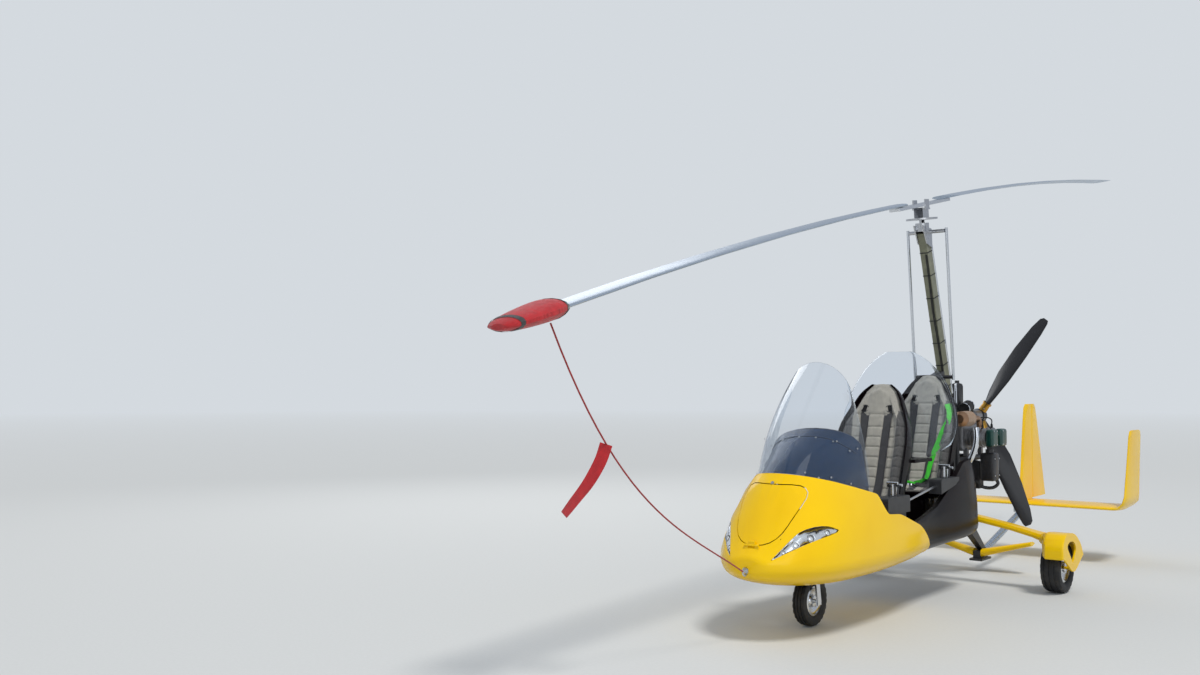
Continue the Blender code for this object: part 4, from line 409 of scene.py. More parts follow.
def sweep(shape, route, radius, sides, ribs=0.0):
    """Extrude one ring along a route, turning it with the route, and close both ends."""
    run = (route[1] - route[0]).normalized()
    verts = bmesh.ops.create_circle(shape, segments=sides, radius=radius, matrix=turned_to(run, route[0]))["verts"]
    edges = list({e for v in verts for e in v.link_edges})
    ends = list(edges)
    for i in range(1, len(route)):
        made = bmesh.ops.extrude_edge_only(shape, edges=edges)["geom"]
        verts = [g for g in made if isinstance(g, bmesh.types.BMVert)]
        known = set(verts)
        edges = [g for g in made if isinstance(g, bmesh.types.BMEdge) and all(v in known for v in g.verts)]
        after = (route[min(i + 1, len(route) - 1)] - route[i - 1]).normalized()
        bmesh.ops.translate(shape, verts=verts, vec=route[i] - route[i - 1])
        bmesh.ops.rotate(shape, verts=verts, cent=route[i], matrix=run.rotation_difference(after).to_matrix())
        if ribs:
            swell = 1 + ribs if i % 2 else 1 / (1 + ribs)
            bmesh.ops.scale(shape, verts=verts, vec=(swell,) * 3, space=Matrix.Translation(-route[i]))
        run = after
    bmesh.ops.holes_fill(shape, edges=ends + edges, sides=0)
    bmesh.ops.recalc_face_normals(shape, faces=shape.faces)


def add_hose(shape, points, radius, sides=10, steps=6, ribs=0.0):
    sweep(shape, smooth_route(points, steps), radius, sides, ribs)


def strap(name, points, width, thickness, material, sideways, body="airframe"):
    """Webbing: a grid laid along a route, its width along sideways(share of the way), then given its thickness."""
    route = smooth_route(points)
    last = len(route) - 1
    shape = bmesh.new()
    bmesh.ops.create_grid(shape, x_segments=2, y_segments=last, size=0.5)
    for vert in shape.verts:
        index = round((vert.co.y + 0.5) * last)
        run = (route[min(index + 1, last)] - route[max(index - 1, 0)]).normalized()
        side = Vector(sideways(index / last))
        side = (side - run * side.dot(run)).normalized()
        vert.co = route[index] + side * vert.co.x * width
    bmesh.ops.solidify(shape, geom=shape.faces[:], thickness=thickness)
    bmesh.ops.recalc_face_normals(shape, faces=shape.faces)
    return finish_piece(name, shape, material, body)


print("piece helpers ready")

# %% [markdown]
# The frame's shells are made of flat facets, while the real ones are moulded or turned. So each piece gets a
# smooth skin: a copy with its facets joined and shaded smooth between its true corners. The clear sheets, the
# cowl, the seat shells, the keel fins and the cloth cover also bend along their outline: their facets are
# turned back into four-sided faces, the corners are creased, and a subdivision rounds the rest. Hard pieces
# get a small bevel that catches light.

# %% Smooth skins over the faceted solids
node_body = {name: body for body, names in frame["record"]["behaviour"]["bodies"].items() for name in names}
edge_acrylic = new_material("edge_acrylic", (0.72, 0.80, 0.86), 0.12, Transmission_Weight=0.35)
vary_roughness(edge_acrylic, speckle(edge_acrylic, 0.01), 0.08, 0.22)
sheet_edge, skin_corner = 0.0045, 34
flat_lean, quad_lean, quad_skew, bevel_corner = (math.radians(v) for v in (0.5, 40, 80, 40))
screens = ("front_windscreen", "rear_windscreen")
rounded = (*screens, "instrument_cowl", "blade_cover", "keel_fin_port", "keel_fin_starboard",
           "front_seat_shell", "rear_seat_shell")
bevel_of = {
    "nose_hatch": 0.0015, "main_gear_bow": 0.002, "rocker_covers_port": 0.003, "rocker_covers_starboard": 0.003,
    "engine": 0.0015, "hub_bar": 0.002, "rotor_head": 0.0015, "mast": 0.003, "radiator": 0.002,
    "lever_console_front": 0.002, "lever_console_rear": 0.002, "nose_fork": 0.0015, "control_crank": 0.001,
    "horizontal_stabilizer": 0.002, "center_fin": 0.002, "rudder": 0.002,
}


def smooth_skin(node_name):
    """A smooth copy of a frame node, rounded or bevelled where the lists above say so."""
    shape = joined_copy(node_name)
    if node_name in rounded:
        bmesh.ops.join_triangles(shape, faces=shape.faces, angle_face_threshold=quad_lean,
                                 angle_shape_threshold=quad_skew)
        crease = shape.edges.layers.float.new("crease_edge")
        for edge in shape.edges:
            if len(edge.link_faces) == 2 and edge.calc_face_angle(0) > math.radians(skin_corner):
                edge[crease] = 1.0
    else:
        bmesh.ops.dissolve_limit(shape, angle_limit=flat_lean, verts=shape.verts, edges=shape.edges)
    if node_name in screens:
        for face in shape.faces:
            face.material_index = 1 if min(e.calc_length() for e in face.edges) < sheet_edge else 0
    item = finish_piece(f"{node_name}_skin", shape, nodes[node_name].data.materials[0], node_body[node_name],
                        skin_corner)
    if node_name in screens:
        item.data.materials.append(edge_acrylic)
    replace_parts(item, node_name)
    if node_name in rounded:
        round_off = item.modifiers.new("round off", "SUBSURF")
        round_off.levels = round_off.render_levels = 2
    if node_name in bevel_of:
        edges = item.modifiers.new("edges", "BEVEL")
        edges.width, edges.segments = bevel_of[node_name], 2
        edges.limit_method, edges.angle_limit = "ANGLE", bevel_corner
    item.modifiers.new("shading", "WEIGHTED_NORMAL").keep_sharp = True
    return item


skins = {name: smooth_skin(name) for name in sorted(nodes) if "cushion" not in name}
for name in (*screens, "headlamp_port", "headlamp_starboard"):
    skins[name].visible_shadow = False
print("skins:", len(skins))

# %% [markdown]
# Small fittings have to stand on the shells whatever their curve. A ray sent at a shell finds the place and
# the way out of it there, so a fitting needs only a start and a direction.

# %% Finding places on a shell
down = Vector((0, 0, -1))


def surface(*names):
    """A search tree over the facets of some frame pieces."""
    points, faces = [], []
    for name in names:
        base = len(points)
        points += [v.co for v in nodes[name].data.vertices]
        faces += [[base + i for i in p.vertices] for p in nodes[name].data.polygons]
    return BVHTree.FromPolygons(points, faces)


def touch(tree, start, direction):
    """Where a ray meets a shell, and the way out of it there."""
    place, normal, _, _ = tree.ray_cast(Vector(start), Vector(direction).normalized())
    return (place, normal if normal.dot(Vector(direction)) < 0 else -normal) if place else (None, None)


def add_studs(shape, tree, rays, radius, height):
    """A screw wherever one of the rays meets a shell."""
    for start, direction in rays:
        place, way = touch(tree, start, direction)
        if place is not None:
            add_screw(shape, place, way, radius, height)


pod_tree = surface("nose_pod", "nose_hatch")
print("nose top at", touch(pod_tree, (0, -2.1, 2), down)[0])

# %% [markdown]
# The two seats are the same moulded bucket: a foam pad in a hard shell, quilted across the middle, with
# side bolsters and a rounded head rest that has two slots for shoulder belts. Every place on the pad is told
# by its length along the seat's middle line, from the knees over the hip to the head.

# %% The line of the seat
front_hip = Vector((0, -0.860, 0.600))
seat_step = Vector((0, 0.750, 0.060))
seats = (("front", Vector()), ("rear", seat_step))
line_points = [front_hip + Vector((0, y, z)) for y, z in (
    (-0.300, 0.030), (-0.200, -0.005), (-0.090, -0.018), (-0.015, 0.012), (0.035, 0.100), (0.080, 0.230),
    (0.130, 0.390), (0.175, 0.530), (0.205, 0.630), (0.225, 0.700), (0.238, 0.755), (0.245, 0.790),
)]
line_lengths = [0.0]
for a, b in zip(line_points, line_points[1:]):
    line_lengths.append(line_lengths[-1] + (b - a).length)


def along_seat(point):
    """How far along the seat's middle line a point lies, and how far in front of it."""
    best = (math.inf, 0, 0)
    for i, (a, b) in enumerate(zip(line_points, line_points[1:])):
        run = b - a
        t = min(max((point - a).dot(run) / run.length_squared, 0), 1)
        gap = point - (a + run * t)
        gap.x = 0
        if gap.length < best[0]:
            toward = Vector((0, -run.z, run.y)).normalized()
            best = (gap.length, line_lengths[i] + run.length * t, gap.dot(toward))
    return best[1], best[2]


def seat_place(length):
    """The point on the middle line at a length, and the way it faces."""
    for i, (low, high) in enumerate(zip(line_lengths, line_lengths[1:])):
        if length <= high or i == len(line_points) - 2:
            run = line_points[i + 1] - line_points[i]
            t = (length - low) / (high - low)
            return line_points[i] + run * t, Vector((0, -run.z, run.y)).normalized()


print("seat line", round(line_lengths[-1], 3), "m long")

# %% [markdown]
# Foam swells between its seams. So the pad starts as the frame's plain solid, a little smaller, is remeshed
# evenly and is blown up as cloth by a light pressure. No point may move further than the cap, and the back of
# the pad stays in its shell. Seams are pressed in after.

# %% Blow up the pad as cloth
pad_shrink, pad_voxel = 0.002, 0.0082
cloth_frames = 20
swell_cap, swell_from = 0.012, 0.02


def bake_modifiers(item):
    """Keep what the modifiers made and drop the modifiers."""
    mesh = bpy.data.meshes.new_from_object(item.evaluated_get(bpy.context.evaluated_depsgraph_get()))
    item.modifiers.clear()
    old, item.data = item.data, mesh
    bpy.data.meshes.remove(old)


plain_pad = joined_copy("front_seat_cushion")
plain_pad.normal_update()
for vert in plain_pad.verts:
    vert.co -= vert.normal * pad_shrink
pad = put("front_seat_pad", mesh_of("front_seat_pad", plain_pad))
remesh = pad.modifiers.new("even", "REMESH")
remesh.mode, remesh.voxel_size = "VOXEL", pad_voxel
bake_modifiers(pad)
rest = [v.co.copy() for v in pad.data.vertices]
cloth = pad.modifiers.new("foam", "CLOTH")
cloth.settings.use_pressure = True
cloth.settings.uniform_pressure_force = 4
cloth.settings.effector_weights.gravity = 0
cloth.point_cache.frame_start, cloth.point_cache.frame_end = 1, cloth_frames
for frame_number in range(1, cloth_frames + 1):
    scene.frame_set(frame_number)
bake_modifiers(pad)
scene.frame_set(1)
grown = 0.0
for vert, start in zip(pad.data.vertices, rest):
    most = swell_cap if along_seat(start)[1] > swell_from else 0.0
    move = vert.co - start
    vert.co = start + move * (min(1.0, most / move.length) if move.length > 1e-6 else 0.0)
    grown = max(grown, (vert.co - start).length)
print("pad points", len(pad.data.vertices), "swelled up to", round(grown * 1000, 1), "mm")

# %% [markdown]
# Quilting is a groove that sinks and lets the cloth bulge on both sides of it. Each groove here is a smooth
# dip in a distance: across the seat for the channels, along it for the two pairs of long seams. The same
# pass writes which zone a point is in, so that the dark side strips follow the seams exactly. It also
# darkens the outer flanks and every side of the pad that turns away from the front; that darkening is partly
# darker bolster cloth and partly painted shade where the pad sinks into its shell.

# %% Press in seams and channels
channel_lengths = [0.055, 0.110, 0.165] + [0.36 + 0.066 * k for k in range(8)]
channel_depth, channel_width = 0.0055, 0.0065
seam_in, seam_out, seam_depth, seam_width = 0.052, 0.100, 0.0065, 0.007
strip_depth = 0.004
head_seam, head_seam_depth, head_seam_width = 0.905, 0.0045, 0.008
flank_place = 0.150
head_foot, head_height, head_drop = 0.58, 0.21, 1.5

smooth = pad.modifiers.new("fine", "SUBSURF")
smooth.levels = smooth.render_levels = 1
bake_modifiers(pad)


def dip(distance, width):
    return math.exp(-((distance / width) ** 2))


def share(value, start, span):
    """How far a value is into a span, from 0 to 1."""
    return max(min((value - start) / span, 1), 0)


def round_head(co, hip_height, narrow, taper):
    """Narrow a head rest towards its top and lower its corners, so that it ends in an arch."""
    climb = share(co.z - hip_height, head_foot, head_height)
    co.x *= 1 - narrow * climb - taper * climb ** 4
    co.z -= head_drop * climb ** 4 * co.x ** 2


strip = pad.data.attributes.new("strip", "FLOAT", "POINT")
cloth_and_shade_zones = []
pad_normals = [v.normal.copy() for v in pad.data.vertices]
for vert, normal in zip(pad.data.vertices, pad_normals):
    length, ahead = along_seat(vert.co)
    side = abs(vert.co.x)
    toward = seat_place(length)[1]
    facing = share(normal.dot(toward), 0.05, 1 / 3)
    below_head = 1 - share(length, 0.90, 0.03)
    between_seams = seam_in < side < seam_out and length < 0.9
    depth = 0.0
    if facing > 0 and ahead > 0:
        if not seam_in <= side <= seam_out:
            near = min(abs(length - c) for c in channel_lengths)
            depth += channel_depth * dip(near, channel_width) * below_head
        for seam in (seam_in, seam_out):
            depth += seam_depth * dip(side - seam, seam_width) * below_head
        depth += head_seam_depth * dip(length - head_seam, head_seam_width) * (1 if side < 0.14 else 0.3)
        if between_seams:
            depth += strip_depth
    vert.co -= toward * depth * facing
    round_head(vert.co, front_hip.z, 0.15, 0.10)
    on_flank = side > flank_place and length < 0.93
    # the flank and turned-away zones are partly darker cloth and partly painted shade
    cloth_and_shade_zones.append(1.0 if between_seams and facing > 0.2 else 0.85 if on_flank else 0.45 if facing < 0.15 else 0.0)
strip.data.foreach_set("value", cloth_and_shade_zones)
pad.data.shade_smooth()
for label, step in seats:
    for vert in skins[f"{label}_seat_shell"].data.vertices:
        round_head(vert.co, front_hip.z + step.z, 0.0, 0.14)
print("strip and flank points:", sum(zone > 0.8 for zone in cloth_and_shade_zones))

# %% [markdown]
# The zones only darken the cloth: the attribute mixes its colour towards near black. On the flanks and the
# sides that turn away, this is partly painted shade. The rear pad is the same mesh, a step further back.

# %% Seat cloth and the second seat
seat_cloth = woven("seat_cloth", (0.440, 0.420, 0.365), (0.280, 0.270, 0.240))
cloth_shader = shader_of(seat_cloth)
light = cloth_shader.inputs["Base Color"].links[0].from_socket
zone = node(seat_cloth, "ShaderNodeAttribute", attribute_name="strip")
dark = node(seat_cloth, "ShaderNodeMix", data_type="RGBA")
join(zone.outputs["Fac"], dark, "Factor")
join(light, dark, 6)
dark.inputs[7].default_value = (0.045, 0.046, 0.052, 1)
join(dark.outputs[2], cloth_shader, "Base Color")
pad.data.materials.clear()
pad.data.materials.append(seat_cloth)
rear_pad = put("rear_seat_pad", pad.data.copy())
rear_pad.data.transform(Matrix.Translation(seat_step))
for item, cad in ((pad, "front_seat_cushion"), (rear_pad, "rear_seat_cushion")):
    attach(item, "airframe")
    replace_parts(item, cad)
print("pads:", pad.name, rear_pad.name, "triangles each", sum(len(p.vertices) - 2 for p in pad.data.polygons))

# %% [markdown]
# Belt slots are moulded rings sunk in the head rest. A ray sent at the pad from the front finds the surface,
# so each ring sits on the foam whatever the swelling did. A near-black disc in each ring is painted shade for
# the dark inside of the slot.

# %% Belt slots
# near-black material for the painted shade inside the belt slots
painted_slot_shade = new_material("painted_slot_shade", (0.004, 0.004, 0.005), 0.8)
vary_colour(painted_slot_shade, speckle(painted_slot_shade, 0.01), (0.003, 0.003, 0.004), (0.010, 0.010, 0.011))
slot_x, slot_length, slot_radius, slot_hole = 0.088, 0.945, 0.022, 0.019
pad_tree = BVHTree.FromPolygons([v.co for v in pad.data.vertices], [p.vertices for p in pad.data.polygons])


def on_pad(x, length, lift):
    """The pad's surface in front of the middle line at a length, lifted along the seat's facing."""
    place, toward = seat_place(length)
    place = place + Vector((x, 0, 0))
    hit = pad_tree.ray_cast(place + toward * 0.2, -toward)[0]
    return (hit if hit else place) + toward * lift, toward


for label, step in seats:
    rings, holes = bmesh.new(), bmesh.new()
    for side in (-1, 1):
        place, toward = on_pad(side * slot_x, slot_length, 0.001)
        oval = turned_to(toward, place + step) @ Matrix.Diagonal((1.5, 1.0, 1.0, 1.0))
        add_ring(rings, oval, slot_radius, slot_hole, 0.010, -0.004)
        # a near-black disc of painted shade fills the slot's opening
        bmesh.ops.create_cone(holes, cap_ends=True, segments=28, radius1=slot_hole, radius2=slot_hole, depth=0.006,
                              matrix=oval)
    bmesh.ops.recalc_face_normals(rings, faces=rings.faces)
    finish_piece(f"belt_slots_{label}", rings, dark_plastic)
    finish_piece(f"belt_slot_shade_{label}", holes, painted_slot_shade)
print("belt slots on both head rests")

# %% [markdown]
# The shoulder belts leave the slots and lie down the dark strips to a round buckle on the seat, where the lap
# belts meet them. A route is a list of places on the pad: how far aside, at what length, how high above it.

# %% Shoulder and lap belts
belt_cloth = woven("belt_cloth", (0.050, 0.050, 0.054), (0.016, 0.016, 0.018), 0.0012, 0.6)
shoulder_width, lap_width, webbing = 0.042, 0.045, 0.0022
shoulder_spots = (
    (0.092, 0.936, -0.004), (0.088, 0.905, 0.004), (0.078, 0.82, 0.004), (0.076, 0.70, 0.004), (0.076, 0.58, 0.004),
    (0.074, 0.46, 0.005), (0.066, 0.36, 0.006), (0.046, 0.26, 0.009), (0.022, 0.20, 0.014),
)
lap_spots = ((0.205, 0.30, 0.006), (0.170, 0.25, 0.012), (0.110, 0.215, 0.016), (0.030, 0.195, 0.016))


def pad_route(spots, step, side=1):
    return [on_pad(side * x, length, lift)[0] + step for x, length, lift in spots]


for label, step in seats:
    for side, name in ((1, "port"), (-1, "starboard")):
        strap(f"shoulder_belt_{label}_{name}", pad_route(shoulder_spots, step, side), shoulder_width, webbing,
              belt_cloth, lambda t: (1, 0, 0))
        strap(f"lap_belt_{label}_{name}", pad_route(lap_spots, step, side), lap_width, webbing, belt_cloth,
              lambda t: (0, 0.6, 0.8))
    buckle = bmesh.new()
    place, toward = on_pad(0, 0.195, 0.018)
    place = place + step
    add_rod(buckle, place - toward * 0.006, place + toward * 0.006, 0.030, 28)
    add_rod(buckle, place + toward * 0.005, place + toward * 0.011, 0.020, 24, 0.018)
    add_box(buckle, place + toward * 0.012, (0.030, 0.008, 0.006), 0.0015, turned_to(toward))
    finish_piece(f"belt_buckle_{label}", buckle, chrome)
print("belts and buckles on both seats")

# %% [markdown]
# A bright green lashing strap holds the rear stick while the machine is parked. It is webbing like the belts,
# so the same helper lays it over the rear pad, from the shoulder down to the seat.

# %% Green lashing strap
green_route = pad_route((
    (0.165, 0.90, 0.012), (0.195, 0.80, 0.016), (0.140, 0.66, 0.020), (0.095, 0.50, 0.018), (0.085, 0.38, 0.020),
    (0.060, 0.29, 0.024), (0.020, 0.24, 0.026),
), seat_step)
strap("lashing_strap", green_route, 0.034, 0.002, green_strap, lambda t: (math.cos(1.2 * t), 0.2, math.sin(1.2 * t)))
tail = bmesh.new()
tail_bends = ((0, 0, 0), (-0.03, -0.03, 0.012), (-0.05, -0.01, 0.004), (-0.02, 0.02, 0.002))
add_hose(tail, shifted(green_route[-1], tail_bends), 0.009)
finish_piece("lashing_tail", tail, green_strap)
print("lashing strap from", [round(v, 2) for v in green_route[0]])

# %% [markdown]
# Behind each clear lamp cover sits a bright bed with four round reflectors. The bed is the cover's own shape
# moved inwards, so it follows the nose; each reflector is a shallow chromed dome in a ring.

# %% Headlamp reflectors
lamp_silver = brushed("lamp_silver", (0.80, 0.82, 0.85), 0.16, size=0.006)
bed_depth = 0.011
bowl_spots = ((0.165, -2.185, 0.500, 0.016), (0.205, -2.120, 0.530, 0.021), (0.250, -2.035, 0.560, 0.024),
              (0.292, -1.930, 0.585, 0.020))
for side, label in ((1, "port"), (-1, "starboard")):
    outward = Vector((side * 0.62, -0.74, 0.26)).normalized()
    bed = joined_copy(f"headlamp_{label}")
    bmesh.ops.translate(bed, verts=bed.verts, vec=-outward * bed_depth)
    finish_piece(f"lamp_bed_{label}", bed, lamp_silver)
    cover = surface(f"headlamp_{label}")
    bowls = bmesh.new()
    for x, y, z, size in bowl_spots:
        place, way = touch(cover, Vector((side * x, y, z)) + outward * 0.4, -outward)
        if place is not None:
            add_ring(bowls, turned_to(way, place - way * 0.009), size, size * 0.94, 0.007, 0.002)
            dome = turned_to(way, place - way * 0.012) @ Matrix.Diagonal((1, 1, 0.35, 1))
            bmesh.ops.create_uvsphere(bowls, u_segments=16, v_segments=8, radius=size * 0.80, matrix=dome)
    finish_piece(f"lamp_bowls_{label}", bowls, chrome)
print("reflectors behind both lamp covers")

# %% [markdown]
# Small fixings tell the size of a machine. The hatch has a quarter-turn lock, the front screen is screwed to
# the nose along its lower edge, and the cowl shows a joint with screws along it. Each one is placed with a
# ray, so it stands on the shell.

# %% Lock, screws and seam of the nose
fixings = bmesh.new()
place, way = touch(pod_tree, (0.0, -2.005, 1.5), down)
add_rod(fixings, place - way * 0.002, place + way * 0.005, 0.011, 20, 0.009)
add_box(fixings, place + way * 0.005, (0.012, 0.003, 0.003), 0.0005)
finish_piece("hatch_lock", fixings, bright_steel, "hatch")

screw_count, screw_step, screen_front = 7, 0.072, -1.90
screen_points = [v.co for v in nodes["front_windscreen"].data.vertices]
rays = []
for side in (-1, 1):
    for k in range(screw_count):
        y, to_front = screen_front + screw_step * k, (6 - k) / 6
        foot = min(p.z for p in screen_points if abs(p.y - y) < 0.05 and p.x * side > 0)
        rays.append(((side * 1.0, y - 0.3 * to_front, foot + 0.020), (-side, 0.35 * to_front, 0)))
screws = bmesh.new()
add_studs(screws, surface("front_windscreen"), rays, 0.0055, 0.0025)
finish_piece("screen_screws", screws, bright_steel)

cowl_tree = surface("instrument_cowl")
studs = bmesh.new()
cowl_spots = ((0.054, -1.613), (0.163, -1.611), (0.252, -1.585))
add_studs(studs, cowl_tree, [((side * x, y, 1.6), down) for side in (-1, 1) for x, y in cowl_spots], 0.006, 0.003)
finish_piece("cowl_screws", studs, bright_steel)
half_seam = ((0.040, -1.604), (0.105, -1.603), (0.163, -1.601), (0.210, -1.595), (0.252, -1.574), (0.276, -1.552))
whole_seam = [(-x, y) for x, y in half_seam[::-1]] + [*half_seam]
seam_hits = [touch(cowl_tree, (x, y, 1.6), down)[0] for x, y in whole_seam]
seam_hits = [place for place in seam_hits if place is not None]
joint = bmesh.new()
add_hose(joint, seam_hits, 0.0014, 6)
finish_piece("cowl_joint", joint, dark_plastic)
print("hatch lock, screen screws, cowl screws and a joint of", len(seam_hits), "points")

# %% [markdown]
# The panel faces the front seat. Its instruments are round glasses in black bezels with plain scale marks, two
# large ones side by side and smaller ones around them, and a row of switches below.

# %% Instruments
dial_glass = new_material("dial_glass", (0.012, 0.013, 0.016), 0.06, Coat_Weight=1.0)
vary_roughness(dial_glass, speckle(dial_glass, 0.05), 0.04, 0.10)
panel_out = Vector((0, 0.9812, 0.1928))
panel_up = Vector((0, -0.1928, 0.9812))
panel_middle = Vector((0, -1.4887, 1.0456))
dials = ((-0.10, 0.000, 0.040), (0.10, 0.000, 0.040), (0.0, 0.018, 0.029), (-0.175, -0.075, 0.026),
         (-0.085, -0.085, 0.026), (0.0, -0.065, 0.029), (0.085, -0.085, 0.026), (0.175, -0.075, 0.026))
scale_marks, scale_start, scale_span, needle_turn = 12, -140, 280, -0.8


def on_panel(x, up, out=0.0):
    return panel_middle + Vector((x, 0, 0)) + panel_up * up + panel_out * out


bezels, glasses, marks = bmesh.new(), bmesh.new(), bmesh.new()
for x, up, size in dials:
    rim = bmesh.ops.create_circle(bezels, cap_ends=True, segments=32, radius=size,
                                  matrix=turned_to(panel_out, on_panel(x, up)))["verts"]
    disc = faces_of(rim)
    for inwards, depth in ((0.06, 0.006), (0.10, 0.0), (0.03, -0.004)):
        bmesh.ops.inset_region(bezels, faces=disc, thickness=size * inwards, depth=depth)
    add_rod(glasses, on_panel(x, up, 0.0021), on_panel(x, up, 0.0026), size * 0.80, 28)
    face = on_panel(x, up, 0.003)
    for k in range(scale_marks):
        angle = math.radians(scale_start + k * scale_span / (scale_marks - 1))
        spoke = (Vector((math.sin(angle), 0, 0)) + panel_up * math.cos(angle)) * size
        add_rod(marks, face + spoke * 0.58, face + spoke * 0.74, size * 0.02, 5)
    needle = (Vector((math.sin(needle_turn), 0, 0)) + panel_up * math.cos(needle_turn)) * size
    add_rod(marks, face, face + needle * 0.6, size * 0.03, 6, size * 0.012)
bmesh.ops.recalc_face_normals(bezels, faces=bezels.faces)
finish_piece("dial_bezels", bezels, dark_plastic)
finish_piece("dial_glasses", glasses, dial_glass)
finish_piece("dial_marks", marks, white_paint)
switches = bmesh.new()
for k in range(6):
    x, up = -0.125 + 0.05 * k, -0.150
    add_rod(switches, on_panel(x, up), on_panel(x, up, 0.006), 0.006, 12)
    add_rod(switches, on_panel(x, up, 0.005), on_panel(x, up + 0.006, 0.018), 0.0022, 8, 0.003)
finish_piece("panel_switches", switches, bright_steel)
print("dials:", len(dials))

# %% [markdown]
# The sticks end in moulded grips with a thumb button, and each lever box carries bright lever caps.

# %% Stick grips and lever caps
grip_bends = ((0, 0.006, -0.115), (0, 0.003, -0.07), (0, 0, -0.03), (0, -0.004, 0.0))
for label, _ in seats:
    low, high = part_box(f"control_stick_{label}")
    tip = [v.co.y for v in nodes[f"control_stick_{label}"].data.vertices if v.co.z > high[2] - 0.02]
    top = Vector(((low[0] + high[0]) / 2, sum(tip) / len(tip), high[2]))
    grip, button, caps = bmesh.new(), bmesh.new(), bmesh.new()
    add_hose(grip, shifted(top, grip_bends), 0.0185, 14, 5, 0.05)
    finish_piece(f"stick_grip_{label}", grip, soft_rubber)
    add_rod(button, *shifted(top, ((0.006, -0.012, -0.006), (0.008, -0.020, 0.004))), 0.005, 12)
    finish_piece(f"stick_button_{label}", button, red_cord)
    low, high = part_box(f"lever_console_{label}")
    for part, tall in ((0.42, 0.020), (0.62, 0.004)):
        y = low[1] + (high[1] - low[1]) * part
        place = Vector(((low[0] + high[0]) / 2 + 0.01, y, high[2] + tall - 0.012))
        add_rod(caps, *shifted(place, ((-0.034, 0, 0), (0.034, 0, 0))), 0.0085, 14)
        add_rod(caps, *shifted(place, ((0, 0, -0.075), (0, 0, 0))), 0.006, 10)
    finish_piece(f"lever_caps_{label}", caps, bright_alloy)
print("grips and levers")

# %% [markdown]
# The mast carries its second tube and the wiring, held with black ties. A tie is a narrow band that goes
# round both tubes; here it is one rounded box turned to the mast's slope.

# %% Mast ties and wiring
mast_slope, mast_y, mast_foot = 0.3215, 0.408, 1.28
tie_count, tie_first, tie_step = 7, 1.38, 0.155


def on_mast(z):
    return Vector((0, mast_y - mast_slope * (z - mast_foot), z))


ties, wires = bmesh.new(), bmesh.new()
for k in range(tie_count):
    add_box(ties, on_mast(tie_first + tie_step * k), (0.060, 0.085, 0.007), 0.002, turned_to((0, -mast_slope, 1.0)))
finish_piece("mast_ties", ties, soft_rubber)
for x, out in ((0.012, 0.046), (0.020, 0.043)):
    add_hose(wires, [on_mast(z) + Vector((x + 0.004 * math.sin(z * 9), -out, -out * 0.3))
                     for z in (1.32, 1.5, 1.7, 1.9, 2.1, 2.3)], 0.0035, 8)
finish_piece("mast_wires", wires, soft_rubber)
print("ties:", tie_count)

# %% [markdown]
# A pusher's engine is in the open, so it is dressed with what can be seen between the seat and the propeller:
# a black tank on the mast foot with its bright filler tube, a clamp ring round the intake filter, the ribbed
# heater hose, an oil tank beside the radiator with its curved hose, ignition leads and bright bolts.

# %% Tank, filter and hoses on the engine
tank, filter_body, bright, heater, oil = (bmesh.new() for _ in range(5))
add_box(tank, (0.006, 0.580, 1.300), (0.070, 0.095, 0.200), 0.024)
add_rod(tank, (0.006, 0.580, 1.395), (0.006, 0.580, 1.418), 0.016, 20)
finish_piece("header_tank", tank, black_paint)
add_rod(filter_body, (0.100, 0.470, 1.215), (0.100, 0.560, 1.235), 0.040, 28)
add_hose(filter_body, [(0.100, 0.56, 1.235), (0.09, 0.62, 1.23), (0.06, 0.66, 1.18), (0.03, 0.66, 1.14)], 0.026, 14)
finish_piece("intake_filter", filter_body, soft_rubber)
add_hose(bright, [(0.024, 0.515, 1.20), (0.020, 0.517, 1.28), (0.018, 0.524, 1.37), (0.014, 0.545, 1.392)], 0.009)
clamp_lean = 0.22
for y in (0.468, 0.555):
    clamp = turned_to((0, 1, clamp_lean), (0.100, y, 1.2145 + (y - 0.468) * clamp_lean))
    add_ring(bright, clamp, 0.044, 0.044, 0.012, 0.003, 32)
bmesh.ops.recalc_face_normals(bright, faces=bright.faces)
finish_piece("clamps_and_filler", bright, chrome)
heater_bends = [(0.190, 0.455, 1.085), (0.196, 0.452, 1.03), (0.190, 0.448, 0.96), (0.170, 0.446, 0.90),
                (0.150, 0.444, 0.855), (0.12, 0.46, 0.82)]
add_hose(heater, heater_bends, 0.0210, 14, 8, 0.06)
finish_piece("ribbed_hose", heater, lamp_silver)
add_box(oil, (0.215, 0.640, 0.800), (0.105, 0.115, 0.200), 0.018)
add_rod(oil, (0.215, 0.640, 0.895), (0.215, 0.640, 0.925), 0.028, 20)
oil_bends = [(0.250, 0.66, 0.715), (0.262, 0.67, 0.680), (0.225, 0.66, 0.650), (0.16, 0.64, 0.655), (0.12, 0.62, 0.700)]
add_hose(oil, oil_bends, 0.012, 12)
finish_piece("oil_tank", oil, black_paint)
print("two tanks, the filter with its clamps, the filler tube and the heater hose")

# %% [markdown]
# Bolts stand on the oil tank, on the rocker covers and round the gearbox. The leads run from the plugs over
# the top of the block, and cloth tape is wound round the front of the exhaust.

# %% Bolts, leads and exhaust wrap
def around(turn, radius=1.0):
    """A point on a circle across the machine, from an angle in degrees."""
    return Vector((math.cos(math.radians(turn)), 0, math.sin(math.radians(turn)))) * radius


